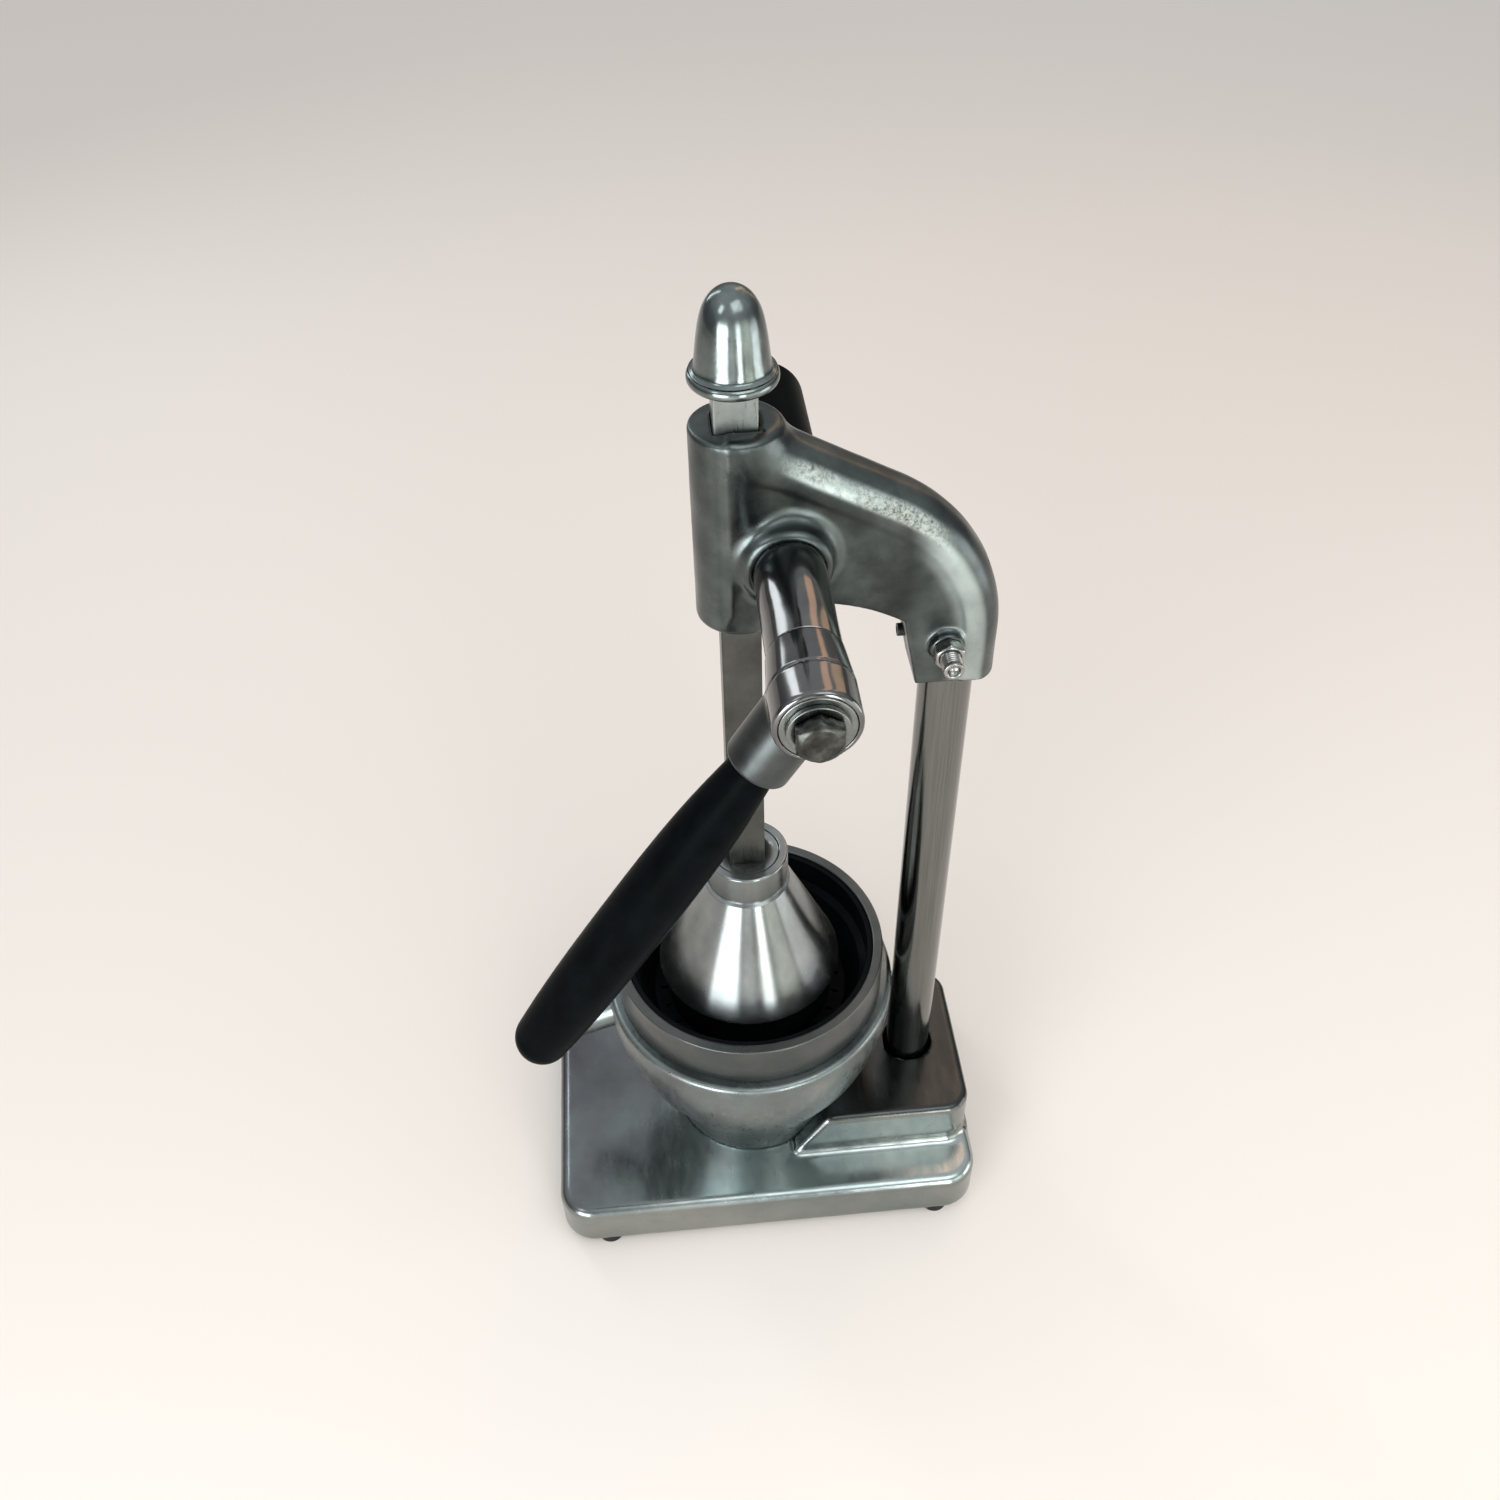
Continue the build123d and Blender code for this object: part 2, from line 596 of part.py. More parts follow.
def make_reamer():
    """Ribbed cone that the half fruit sits on, hidden under the press cone at rest."""
    base_top = STRAINER_FLOOR_Z + REAMER_BASE_THICKNESS
    tip_z = cone_plate_bottom - CONE_SCREW_HEAD_HEIGHT - REAMER_TOP_BELOW_SCREW
    dome_z = tip_z - reamer_radius(tip_z) * REAMER_SHOULDER
    shoulder = (reamer_radius(dome_z) * REAMER_SHOULDER, tip_z - REAMER_SHOULDER_DROP)
    foot_r = min(reamer_radius(base_top), REAMER_BASE_R)
    waist_z = CONE_BOTTOM - (foot_r - reamer_radius(CONE_BOTTOM)) / cone_slope
    rib_low = max(waist_z, base_top + REAMER_STEP)
    flank = Polyline(
        (0, STRAINER_FLOOR_Z),
        (REAMER_BASE_R, STRAINER_FLOOR_Z),
        (REAMER_BASE_R, base_top),
        (foot_r, rib_low),
        (reamer_radius(dome_z), dome_z),
    )
    dome = Spline(
        flank @ 1,
        shoulder,
        (0, tip_z),
        tangents=((-cone_slope, 1), (-1, 0)),
    )
    core = turned(flank + dome + Line(dome @ 1, flank @ 0))
    core -= turned(
        outline(
            (0, STRAINER_FLOOR_Z),
            (foot_r - REAMER_WALL, STRAINER_FLOOR_Z),
            (foot_r - REAMER_WALL, waist_z - REAMER_WALL),
            (reamer_radius(dome_z) - REAMER_WALL, dome_z - REAMER_WALL),
            (shoulder[0] - REAMER_WALL, shoulder[1] - REAMER_WALL),
            (0, tip_z - 2 * REAMER_WALL),
        )
    )
    rib = make_face(
        Plane.XZ
        * outline(
            (reamer_radius(rib_low) - REAMER_RIB_ROOT, rib_low),
            (reamer_radius(rib_low) + REAMER_RIB_PROUD / 3, rib_low),
            (reamer_radius(dome_z) + REAMER_RIB_PROUD, dome_z),
            (reamer_radius(dome_z) / 2, tip_z - REAMER_SHOULDER_DROP / 2),
            (reamer_radius(dome_z) - REAMER_RIB_ROOT, dome_z),
        )
    )
    rib = extrude(rib, REAMER_RIB_WIDTH / 2, both=True)
    for i in range(REAMER_RIBS):
        core += Rot(0, 0, i * 360 / REAMER_RIBS) * rib
    return core


def make_cone():
    """The spun press cone with its turned collar and a square socket for the rack bar."""
    socket_floor = COLLAR_BOTTOM
    top_inner_r = COLLAR_R - cone_skin + CONE_PLATE * cone_slope
    groove_r = COLLAR_R - COLLAR_GROOVE_DEPTH
    cone = turned(
        outline(
            (CONE_R - cone_skin, CONE_BOTTOM),
            (CONE_R, CONE_BOTTOM),
            (COLLAR_R, COLLAR_BOTTOM),
            (groove_r, COLLAR_BOTTOM),
            (groove_r, COLLAR_BOTTOM + COLLAR_GROOVE_WIDTH),
            (COLLAR_R, COLLAR_BOTTOM + COLLAR_GROOVE_WIDTH),
            (COLLAR_R, collar_top - 1),
            (COLLAR_R - 1, collar_top),
            (COLLAR_DISH_R, collar_top),
            (COLLAR_DISH_R - 1, collar_top - COLLAR_DISH_DEPTH),
            (0, collar_top - COLLAR_DISH_DEPTH),
            (0, cone_plate_bottom),
            (top_inner_r, cone_plate_bottom),
        )
    )
    socket_top = collar_top + CUT_PAST
    cone -= Pos(0, 0, (socket_floor + socket_top) / 2) * Box(
        BAR_WIDTH, BAR_WIDTH, socket_top - socket_floor
    )
    return cone - upright(0, 0, cone_plate_bottom - 1, collar_top, CONE_SCREW_R)


def make_cone_screw():
    """The screw inside the press cone, up into the end of the rack bar."""
    screw = pan_screw(
        CONE_SCREW_HEAD_R,
        CONE_SCREW_HEAD_HEIGHT,
        CONE_SCREW_R,
        CONE_PLATE + CONE_SCREW_REACH,
    )
    return Pos(0, 0, cone_plate_bottom) * screw


def make_rack_bar():
    """Square steel bar with straight-sided teeth cut in its rear face."""
    bottom = COLLAR_BOTTOM
    length = BAR_TOP - bottom
    bar = Pos(0, 0, (bottom + BAR_TOP) / 2) * Box(BAR_WIDTH, BAR_WIDTH, length)
    bar = chamfer(bar.edges().filter_by(Axis.Z), BAR_EDGE)
    bar += upright(0, 0, BAR_TOP, BAR_TOP + BAR_SPIGOT_LENGTH, BAR_SPIGOT_R)
    bar -= upright(0, 0, bottom - 1, bottom + CONE_SCREW_REACH, CONE_SCREW_R)

    root_y = rack_pitch_y - PINION_ADDENDUM - TOOTH_CLEARANCE
    half_gap = tooth_pitch / 4 + TOOTH_BACKLASH / 2
    lean = tan(radians(PRESSURE_ANGLE))
    past_y = BAR_WIDTH / 2 + BAR_EDGE
    tip_half = half_gap + (past_y - rack_pitch_y) * lean
    root_half = half_gap - (rack_pitch_y - root_y) * lean
    gap = make_face(
        Plane.YZ
        * outline(
            (root_y, -root_half),
            (past_y, -tip_half),
            (past_y, tip_half),
            (root_y, root_half),
        )
    )
    cutter = extrude(gap, BAR_WIDTH, both=True)
    below = int(rack_travel / tooth_pitch) + RACK_SPARE_TEETH
    for i in range(-below, RACK_SPARE_TEETH + 1):
        bar -= Pos(0, 0, SHAFT_Z + i * tooth_pitch) * cutter
    return bar


def make_knob():
    """Dome-shaped top knob with a flange, screwed on the bar's threaded end."""
    bottom = BAR_TOP
    flange_top = bottom + KNOB_FLANGE_THICKNESS
    top = bottom + KNOB_HEIGHT
    flange = turned(
        outline((0, bottom), (KNOB_FLANGE_R, bottom), (KNOB_FLANGE_R, flange_top), (0, flange_top))
    )
    rims = [e for e in flange.edges().filter_by(GeomType.CIRCLE) if e.radius > KNOB_FLANGE_R / 2]
    flange = fillet(rims, KNOB_FLANGE_EDGE_R)

    taper = radians(KNOB_TAPER)
    ball_z = top - KNOB_TIP_R
    touch = (KNOB_TIP_R * cos(taper), ball_z + KNOB_TIP_R * sin(taper))
    half_way = (taper + pi / 2) / 2
    cap_mid = (KNOB_TIP_R * cos(half_way), ball_z + KNOB_TIP_R * sin(half_way))
    low = flange_top - KNOB_FLANGE_EDGE_R / 4
    flank = Line((touch[0] + (touch[1] - low) * tan(taper), low), touch)
    cap = ThreePointArc(touch, cap_mid, (0, top))
    knob = flange + turned(flank + cap + Polyline(cap @ 1, (0, low), flank @ 0))
    return knob - upright(0, 0, bottom - 1, bottom + BAR_SPIGOT_LENGTH, BAR_SPIGOT_R)


def pinion_tooth():
    """The outline of one tooth pointing along local X, with involute flanks."""
    pressure = radians(PRESSURE_ANGLE)
    base_r = pinion_pitch_r * cos(pressure)
    half_at_pitch = (tooth_pitch / 2 - TOOTH_BACKLASH) / (2 * pinion_pitch_r)

    def flank_point(radius, side):
        roll = acos(base_r / max(radius, base_r))
        angle = side * (half_at_pitch + tan(pressure) - pressure - tan(roll) + roll)
        return (radius * cos(angle), radius * sin(angle))

    radii = [base_r + (pinion_tip_r - base_r) * share for share in (0, 0.3, 0.65, 1)]
    deep_r = pinion_root_r - 1
    low_flank = Spline(*[flank_point(r, -1) for r in radii])
    high_flank = Spline(*[flank_point(r, 1) for r in radii])
    tip = ThreePointArc(low_flank @ 1, (pinion_tip_r, 0), high_flank @ 1)
    root = Polyline(high_flank @ 0, flank_point(deep_r, 1), flank_point(deep_r, -1), low_flank @ 0)
    return make_face(low_flank + tip + high_flank + root)


def key(x_from, x_to):
    """A straight key let half into the top of the shaft."""
    return Pos((x_from + x_to) / 2, shaft_y, SHAFT_Z + SHAFT_R) * Box(
        x_to - x_from, KEY_WIDTH, KEY_HEIGHT
    )


def pinion_key():
    """The key under the pinion."""
    half = PINION_LENGTH / 2 - PINION_KEY_INSET
    return key(-half, half)


def hub_key():
    """The key under the lever's hub."""
    return key(hub_mid_x - HUB_KEY_LENGTH / 2, hub_mid_x + HUB_KEY_LENGTH / 2)


def make_pinion():
    """Steel pinion whose front tooth stands in the rack."""
    half = PINION_LENGTH / 2
    place = Plane(origin=(-half, shaft_y, SHAFT_Z), x_dir=(0, 1, 0), z_dir=(1, 0, 0))
    blank = Pos(0, 0, half) * Cylinder(pinion_root_r, PINION_LENGTH)
    for i in range(PINION_TEETH):
        blank += Rot(0, 0, 180 + i * 360 / PINION_TEETH) * extrude(pinion_tooth(), PINION_LENGTH)
    pinion = place * blank
    pinion -= along_x(-half - 1, half + 1, SHAFT_R, shaft_y, SHAFT_Z)
    return pinion - pinion_key()


def make_shaft():
    """The pinion shaft, with two keyways and a bore for the end bolt."""
    far_end = -(sleeve_start + FAR_BUSH_LENGTH - 1)
    shaft = along_x(far_end, shaft_near_end, SHAFT_R, shaft_y, SHAFT_Z)
    shaft -= along_x(shaft_near_end - HUB_BOLT_REACH, HUB_END, HUB_BOLT_R, shaft_y, SHAFT_Z)
    return shaft - pinion_key() - hub_key()


def bush(x_from, x_to):
    """A bronze bush with running clearance on the shaft."""
    outer = along_x(x_from, x_to, BUSH_R, shaft_y, SHAFT_Z)
    return outer - along_x(x_from - 1, x_to + 1, SHAFT_R + SHAFT_RUNNING_GAP, shaft_y, SHAFT_Z)


def make_sleeve():
    """The polished tube that carries the shaft out to the lever."""
    sleeve = along_x(sleeve_start, SLEEVE_END, SLEEVE_R, shaft_y, SHAFT_Z)
    sleeve = chamfer(sleeve.edges().group_by(Axis.X)[-1], SLEEVE_BEVEL)
    return sleeve - along_x(sleeve_start - 1, SLEEVE_END + 1, BUSH_R, shaft_y, SHAFT_Z)


def arm_side_view():
    """The arm seen from the lever's side: a straight ridge, a bend and the column's boss."""
    slope = radians(ARM_SLOPE)
    bend_y = boss_rear - ARM_BEND_R
    ridge_end = (bend_y + ARM_BEND_R * sin(slope), ARM_BEND_Z + ARM_BEND_R * cos(slope))
    ridge_z = HEAD_TOP - ARM_RIDGE_DROP
    ridge_start = (ridge_end[0] - (ridge_z - ridge_end[1]) / tan(slope), ridge_z)
    bend_mid = (
        bend_y + ARM_BEND_R * cos((pi / 2 - slope) / 2),
        ARM_BEND_Z + ARM_BEND_R * sin((pi / 2 - slope) / 2),
    )
    under_y = boss_front - BOSS_FRONT_RUN
    under_start = (under_y - ARM_UNDER_RUN, ARM_UNDER_Z + ARM_UNDER_DROP)
    under_mid = (
        under_y - ARM_UNDER_RUN * ARM_UNDER_MID_RUN,
        ARM_UNDER_Z + ARM_UNDER_DROP * ARM_UNDER_MID_DROP,
    )
    ridge = Polyline(under_start, (0, under_start[1]), (0, ridge_z), ridge_start, ridge_end)
    bend = ThreePointArc(ridge_end, bend_mid, (boss_rear, ARM_BEND_Z))
    boss = Polyline(
        (boss_rear, ARM_BEND_Z),
        (boss_rear, BOSS_BOTTOM),
        (boss_front, BOSS_BOTTOM),
        (under_y, ARM_UNDER_Z),
    )
    under = ThreePointArc((under_y, ARM_UNDER_Z), under_mid, under_start)
    return make_face(Plane.YZ * (ridge + bend + boss + under))


def arm_side_edges(arm, on_top):
    """The edges of the arm's two flat sides, either the upper and rear ones or those below."""
    edges = [e for e in arm.edges() if abs(abs(e.center().X) - ARM_HALF_WIDTH) < 0.01]
    edges = [e for e in edges if e.center().Y > BAR_EDGE and e.center().Z > BOSS_BOTTOM + BAR_EDGE]
    return [e for e in edges if (e.center().Y > COLUMN_Y or e.center().Z > SHAFT_Z) == on_top]


def make_head():
    """The head casting: rack housing, arm, column boss and shaft bosses in one piece."""
    housing = upright(0, 0, HEAD_BOTTOM, HEAD_TOP, HEAD_R)
    housing = fillet(housing.edges().group_by(Axis.Z)[-1], HEAD_TOP_EDGE_R)
    housing = fillet(housing.edges().group_by(Axis.Z)[0], HEAD_LOWER_EDGE_R)

    arm = extrude(arm_side_view(), ARM_HALF_WIDTH, both=True)
    arm = fillet(arm_side_edges(arm, False), ARM_UNDER_EDGE_R)
    arm = fillet(arm_side_edges(arm, True), ARM_EDGE_R)

    root_boss = along_x(0, ROOT_BOSS_END, ROOT_BOSS_R, shaft_y, SHAFT_Z)
    root_boss = fillet(root_boss.edges().group_by(Axis.X)[-1], ROOT_BOSS_EDGE_R)
    far_boss = along_x(-FAR_BOSS_END, 0, FAR_BOSS_R, shaft_y, SHAFT_Z)
    lock_pad = along_x(0, LOCK_PAD_END, LOCK_PAD_R, lock_screw_y, LOCK_SCREW_Z)
    lock_pad = fillet(lock_pad.edges().group_by(Axis.X)[-1], LOCK_PAD_EDGE_R)
    head = housing + arm + root_boss + far_boss + lock_pad

    bar_hole = BAR_WIDTH + 2 * BAR_GUIDE_GAP
    head -= Pos(0, 0, (HEAD_BOTTOM + HEAD_TOP) / 2) * Box(
        bar_hole, bar_hole, HEAD_TOP - HEAD_BOTTOM + 2 * CUT_PAST
    )
    head -= along_x(-sleeve_start, ROOT_BOSS_END + 1, SLEEVE_R, shaft_y, SHAFT_Z)
    head -= along_x(-sleeve_start - FAR_BUSH_LENGTH, 0, BUSH_R, shaft_y, SHAFT_Z)
    head -= upright(0, COLUMN_Y, BOSS_BOTTOM - 1, COLUMN_TOP, COLUMN_R)
    head -= along_x(0, LOCK_PAD_END + 1, LOCK_SCREW_R, lock_screw_y, LOCK_SCREW_Z)
    head -= front_screw_hole()
    return head - cover_screw_hole()


def along_y(y_from, y_to, radius, z):
    """A cylinder parallel to Y, on the centre plane."""
    return Pos(0, (y_from + y_to) / 2, z) * Rot(90, 0, 0) * Cylinder(radius, y_to - y_from)


def front_screw_end():
    """Where the front screw ends, proud of the boss's sloping front."""
    share = (FRONT_SCREW_Z - BOSS_BOTTOM) / (ARM_UNDER_Z - BOSS_BOTTOM)
    return boss_front - BOSS_FRONT_RUN * share - FRONT_SCREW_PROUD


def front_screw_hole():
    """The tapped hole through the front of the column's boss."""
    return along_y(front_screw_end(), COLUMN_Y, FRONT_SCREW_R, FRONT_SCREW_Z)


def cover_screw_hole():
    """The tapped hole in the end of the far boss."""
    return along_x(
        -FAR_BOSS_END - 1,
        -FAR_BOSS_END + COVER_SCREW_DEPTH,
        COVER_SCREW_R,
        shaft_y,
        SHAFT_Z,
    )


def make_front_screw():
    """Socket set screw that presses on the front of the column."""
    front = front_screw_end()
    screw = along_y(front, COLUMN_Y - COLUMN_R, FRONT_SCREW_R, FRONT_SCREW_Z)
    socket = Pos(0, front, FRONT_SCREW_Z) * Rot(-90, 0, 0) * hex_prism(
        FRONT_SOCKET_ACROSS, FRONT_SOCKET_DEPTH
    )
    return screw - socket


def make_lock_screw():
    """Set screw on the lever's side that locks the head on the column."""
    screw = along_x(0, LOCK_SCREW_END, LOCK_SCREW_R, lock_screw_y, LOCK_SCREW_Z)
    screw = chamfer(screw.edges().group_by(Axis.X)[-1], LOCK_SCREW_BEVEL)
    socket = Pos(LOCK_SCREW_END, lock_screw_y, LOCK_SCREW_Z) * Rot(0, -90, 0) * hex_prism(
        LOCK_SOCKET_ACROSS, LOCK_SOCKET_DEPTH
    )
    return screw - socket - upright(0, COLUMN_Y, BOSS_BOTTOM, COLUMN_TOP, COLUMN_R)


def make_lock_nut():
    """The hexagon nut on the lock screw, against the boss's pad."""
    nut = Pos(LOCK_PAD_END, lock_screw_y, LOCK_SCREW_Z) * Rot(0, 90, 0) * hex_prism(
        LOCK_NUT_ACROSS, LOCK_NUT_HEIGHT
    )
    return nut - along_x(0, LOCK_SCREW_END, LOCK_SCREW_R, lock_screw_y, LOCK_SCREW_Z)


def make_cover():
    """Black cylindrical cover over the far shaft boss."""
    wall_r = FAR_BOSS_R
    cover = turned(
        outline(
            (wall_r, COVER_START),
            (COVER_R - 1, COVER_START),
            (COVER_R, COVER_START + 1),
            (COVER_END_R, COVER_END - COVER_EDGE_R),
            (COVER_END_R - COVER_EDGE_R, COVER_END),
            (0, COVER_END),
            (0, FAR_BOSS_END),
            (wall_r, FAR_BOSS_END),
        )
    )
    cover = Pos(0, shaft_y, SHAFT_Z) * Rot(0, -90, 0) * cover
    cover -= along_x(-COVER_END - 1, -FAR_BOSS_END + 1, COVER_SCREW_R, shaft_y, SHAFT_Z)
    pocket_r = COVER_SCREW_HEAD_R + COVER_SCREW_GAP
    return cover - along_x(-COVER_END - 1, cover_screw_seat, pocket_r, shaft_y, SHAFT_Z)


def make_cover_screw():
    """The screw that holds the cover on the far boss."""
    reach = COVER_SCREW_DEPTH - COVER_SCREW_END_GAP - cover_screw_seat - FAR_BOSS_END
    screw = pan_screw(COVER_SCREW_HEAD_R, COVER_SCREW_HEAD_HEIGHT, COVER_SCREW_R, reach)
    return Pos(cover_screw_seat, shaft_y, SHAFT_Z) * Rot(0, 90, 0) * screw


def make_hub():
    """The lever's hub and its socket, bored for the shaft and the handle."""
    start = SLEEVE_END + HUB_GAP
    low_r = HUB_R - HUB_GROOVE
    floor = HUB_END - HUB_RECESS_DEPTH
    body = turned(
        outline(
            (0, start),
            (HUB_BACK_R, start),
            (HUB_R, HUB_GROOVE_X - HUB_GROOVE),
            (low_r, HUB_GROOVE_X),
            (HUB_R, HUB_GROOVE_X + HUB_GROOVE),
            (HUB_R, HUB_END - HUB_EDGE),
            (HUB_R - HUB_EDGE, HUB_END),
            (HUB_RECESS_R, HUB_END),
            (HUB_RECESS_R, floor),
            (0, floor),
        )
    )
    body = Pos(0, shaft_y, SHAFT_Z) * Rot(0, 90, 0) * body
    socket = Pos(0, 0, SOCKET_LENGTH / 2) * Cylinder(SOCKET_R, SOCKET_LENGTH)
    socket = fillet(socket.edges().group_by(Axis.Z)[-1], SOCKET_EDGE_R)
    hub = body + handle_frame * socket
    hub -= along_x(start - 1, HUB_END, SHAFT_R, shaft_y, SHAFT_Z)
    mouth = SOCKET_LENGTH - SOCKET_BORE_DEPTH
    hub -= handle_frame * Pos(0, 0, (ROD_START + SOCKET_LENGTH) / 2) * Cylinder(
        ROD_R, SOCKET_LENGTH - ROD_START
    )
    hub -= handle_frame * Pos(0, 0, mouth + SOCKET_LENGTH / 2) * Cylinder(
        SOCKET_BORE_R, SOCKET_LENGTH
    )
    return hub - hub_key()


def make_rod():
    """The steel rod inside the grip."""
    return handle_frame * Pos(0, 0, (ROD_START + ROD_END) / 2) * Cylinder(ROD_R, ROD_END - ROD_START)


def make_grip():
    """Black barrel-shaped grip with a rounded end."""
    start = SOCKET_LENGTH - SOCKET_BORE_DEPTH
    belly = (SOCKET_LENGTH + GRIP_LENGTH) / 2
    tip_start = GRIP_LENGTH - GRIP_TIP_R
    neck = Line((GRIP_ROOT_R, start), (GRIP_ROOT_R, SOCKET_LENGTH))
    swell = Spline(
        neck @ 1,
        (GRIP_ROOT_R + (GRIP_BELLY_R - GRIP_ROOT_R) * 0.5, GRIP_ROUND_START),
        (GRIP_BELLY_R, belly),
        (GRIP_TIP_R, tip_start),
        tangents=((0.1, 1), (-0.06, 1)),
    )
    end_mid = (GRIP_TIP_R * sin(pi / 4), tip_start + GRIP_TIP_R * cos(pi / 4))
    end = ThreePointArc(swell @ 1, end_mid, (0, GRIP_LENGTH))
    back = Polyline(end @ 1, (0, start), neck @ 0)
    grip = turned(neck + swell + end + back)
    grip -= upright(0, 0, start - 1, ROD_END, ROD_R)
    return handle_frame * grip


def make_hub_washer():
    """The washer in the hub's recess."""
    floor = HUB_END - HUB_RECESS_DEPTH
    washer = along_x(floor, floor + HUB_WASHER_THICKNESS, HUB_WASHER_R, shaft_y, SHAFT_Z)
    washer = chamfer(washer.edges().group_by(Axis.X)[-1], HUB_WASHER_BEVEL)
    return washer - along_x(floor - 1, hub_washer_face + 1, HUB_BOLT_R, shaft_y, SHAFT_Z)


def make_spring_washer():
    """The split spring washer under the bolt's head."""
    start = hub_washer_face
    end = start + SPRING_WASHER_THICKNESS
    washer = along_x(start, end, SPRING_WASHER_R, shaft_y, SHAFT_Z)
    washer = chamfer(washer.edges().group_by(Axis.X)[-1], SPRING_WASHER_BEVEL)
    washer -= along_x(start - 1, end + 1, HUB_BOLT_R, shaft_y, SHAFT_Z)
    slit = Box(3 * SPRING_WASHER_THICKNESS, SPRING_WASHER_SLIT, SPRING_WASHER_R)
    return washer - Pos(start, shaft_y, SHAFT_Z + SPRING_WASHER_R / 2 + HUB_BOLT_R / 2) * slit


def make_hub_bolt():
    """The large hexagon bolt that holds the hub on the shaft, with a bevelled head."""
    seat = hub_washer_face + SPRING_WASHER_THICKNESS
    head = hex_prism(HUB_BOLT_ACROSS, HUB_BOLT_HEAD_HEIGHT)
    corner_r = HUB_BOLT_ACROSS / 2 / cos(pi / 6)
    bevel = turned(
        outline(
            (0, 0),
            (corner_r + 1, 0),
            (corner_r + 1, HUB_BOLT_HEAD_HEIGHT - (corner_r + 1 - HUB_BOLT_FACE_R) * HUB_BOLT_BEVEL),
            (HUB_BOLT_FACE_R, HUB_BOLT_HEAD_HEIGHT),
            (0, HUB_BOLT_HEAD_HEIGHT),
        )
    )
    head = head & bevel
    bolt = Pos(seat, shaft_y, SHAFT_Z) * Rot(0, 90, 0) * head
    return bolt + along_x(shaft_near_end - HUB_BOLT_REACH, seat, HUB_BOLT_R, shaft_y, SHAFT_Z)


parts = {
    "base_casting": make_base,
    "rubber_feet": make_feet,
    "foot_screws": make_foot_screws,
    "column": make_column,
    "column_washer": make_column_washer,
    "column_bolt": make_column_bolt,
    "juice_pot": make_pot,
    "pot_collar": make_pot_collar,
    "juice_spout": make_spout,
    "pot_screws": make_pot_screws,
    "bowl_band": make_band,
    "strainer_bowl": make_strainer,
    "reamer": make_reamer,
    "head_casting": make_head,
    "head_front_screw": make_front_screw,
    "head_lock_screw": make_lock_screw,
    "head_lock_nut": make_lock_nut,
    "shaft_sleeve": make_sleeve,
    "shaft_cover": make_cover,
    "cover_screw": make_cover_screw,
    "rack_bar": make_rack_bar,
    "press_cone": make_cone,
    "cone_screw": make_cone_screw,
    "top_knob": make_knob,
    "pinion": make_pinion,
    "pinion_key": pinion_key,
    "pinion_shaft": make_shaft,
    "lever_hub": make_hub,
    "hub_key": hub_key,
    "hub_washer": make_hub_washer,
    "hub_spring_washer": make_spring_washer,
    "hub_bolt": make_hub_bolt,
    "lever_rod": make_rod,
    "lever_grip": make_grip,
}
for name, make in parts.items():
    save(name, make())

far_bush_end = -sleeve_start - FAR_BUSH_LENGTH
save("shaft_bush_far", bush(far_bush_end, -sleeve_start))
save("shaft_bush_inner", bush(sleeve_start, sleeve_start + SLEEVE_BUSH_LENGTH))
save("shaft_bush_outer", bush(SLEEVE_END - SLEEVE_BUSH_LENGTH, SLEEVE_END))

print(f"rack travel {rack_travel:.2f} mm, pitch radius {pinion_pitch_r} mm, shaft at y {shaft_y}")
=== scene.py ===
# %% [markdown]
# # A hand-lever citrus press
# The press is polished cast and turned metal: a cast base, a steel column, a cast head, a square rack
# bar with a spun cone, and a chrome lever with a black grip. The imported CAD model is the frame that
# every piece hangs on, so the first step is to load it and to keep its box.

import math

import bmesh
import bpy
import numpy as np
from mathutils import Matrix, Vector


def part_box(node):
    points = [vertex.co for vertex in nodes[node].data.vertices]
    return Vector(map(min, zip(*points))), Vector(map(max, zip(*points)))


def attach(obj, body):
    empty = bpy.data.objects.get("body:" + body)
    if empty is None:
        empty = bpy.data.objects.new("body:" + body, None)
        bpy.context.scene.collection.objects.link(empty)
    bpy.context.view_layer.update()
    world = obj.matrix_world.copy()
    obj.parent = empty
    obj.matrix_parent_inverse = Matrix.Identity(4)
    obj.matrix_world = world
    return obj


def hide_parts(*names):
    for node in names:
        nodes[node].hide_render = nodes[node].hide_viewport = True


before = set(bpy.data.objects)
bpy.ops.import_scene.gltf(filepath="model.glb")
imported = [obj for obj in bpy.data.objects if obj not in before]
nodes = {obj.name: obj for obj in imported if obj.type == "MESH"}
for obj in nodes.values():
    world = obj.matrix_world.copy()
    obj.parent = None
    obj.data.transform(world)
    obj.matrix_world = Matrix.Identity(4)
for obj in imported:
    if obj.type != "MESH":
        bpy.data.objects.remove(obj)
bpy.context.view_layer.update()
MM = 0.001

# %% [markdown]
# ## The camera
# The camera stands at the lever's side and looks down at about 44 degrees. Its place and its focal
# length are those that put the straight edges and the circles of the press where the picture has
# them, so the perspective narrows towards the base as it does there.

# %% Camera
CAMERA_PLACE = Vector((491.4, -34.1, 813.9)) * MM
CAMERA_AZIMUTH = 0.07586
CAMERA_DOWN = math.radians(44.44)
CAMERA_ROLL = math.radians(-1.354)
CAMERA_LENS = 34.1

look = Vector((
    -math.cos(CAMERA_AZIMUTH) * math.cos(CAMERA_DOWN),
    math.sin(CAMERA_AZIMUTH) * math.cos(CAMERA_DOWN),
    -math.sin(CAMERA_DOWN),
))
level = Vector((math.sin(CAMERA_AZIMUTH), math.cos(CAMERA_AZIMUTH), 0))
upward = level.cross(look)
right = math.cos(CAMERA_ROLL) * level + math.sin(CAMERA_ROLL) * upward
top = -math.sin(CAMERA_ROLL) * level + math.cos(CAMERA_ROLL) * upward
turn = Matrix((right, top, -look)).transposed()

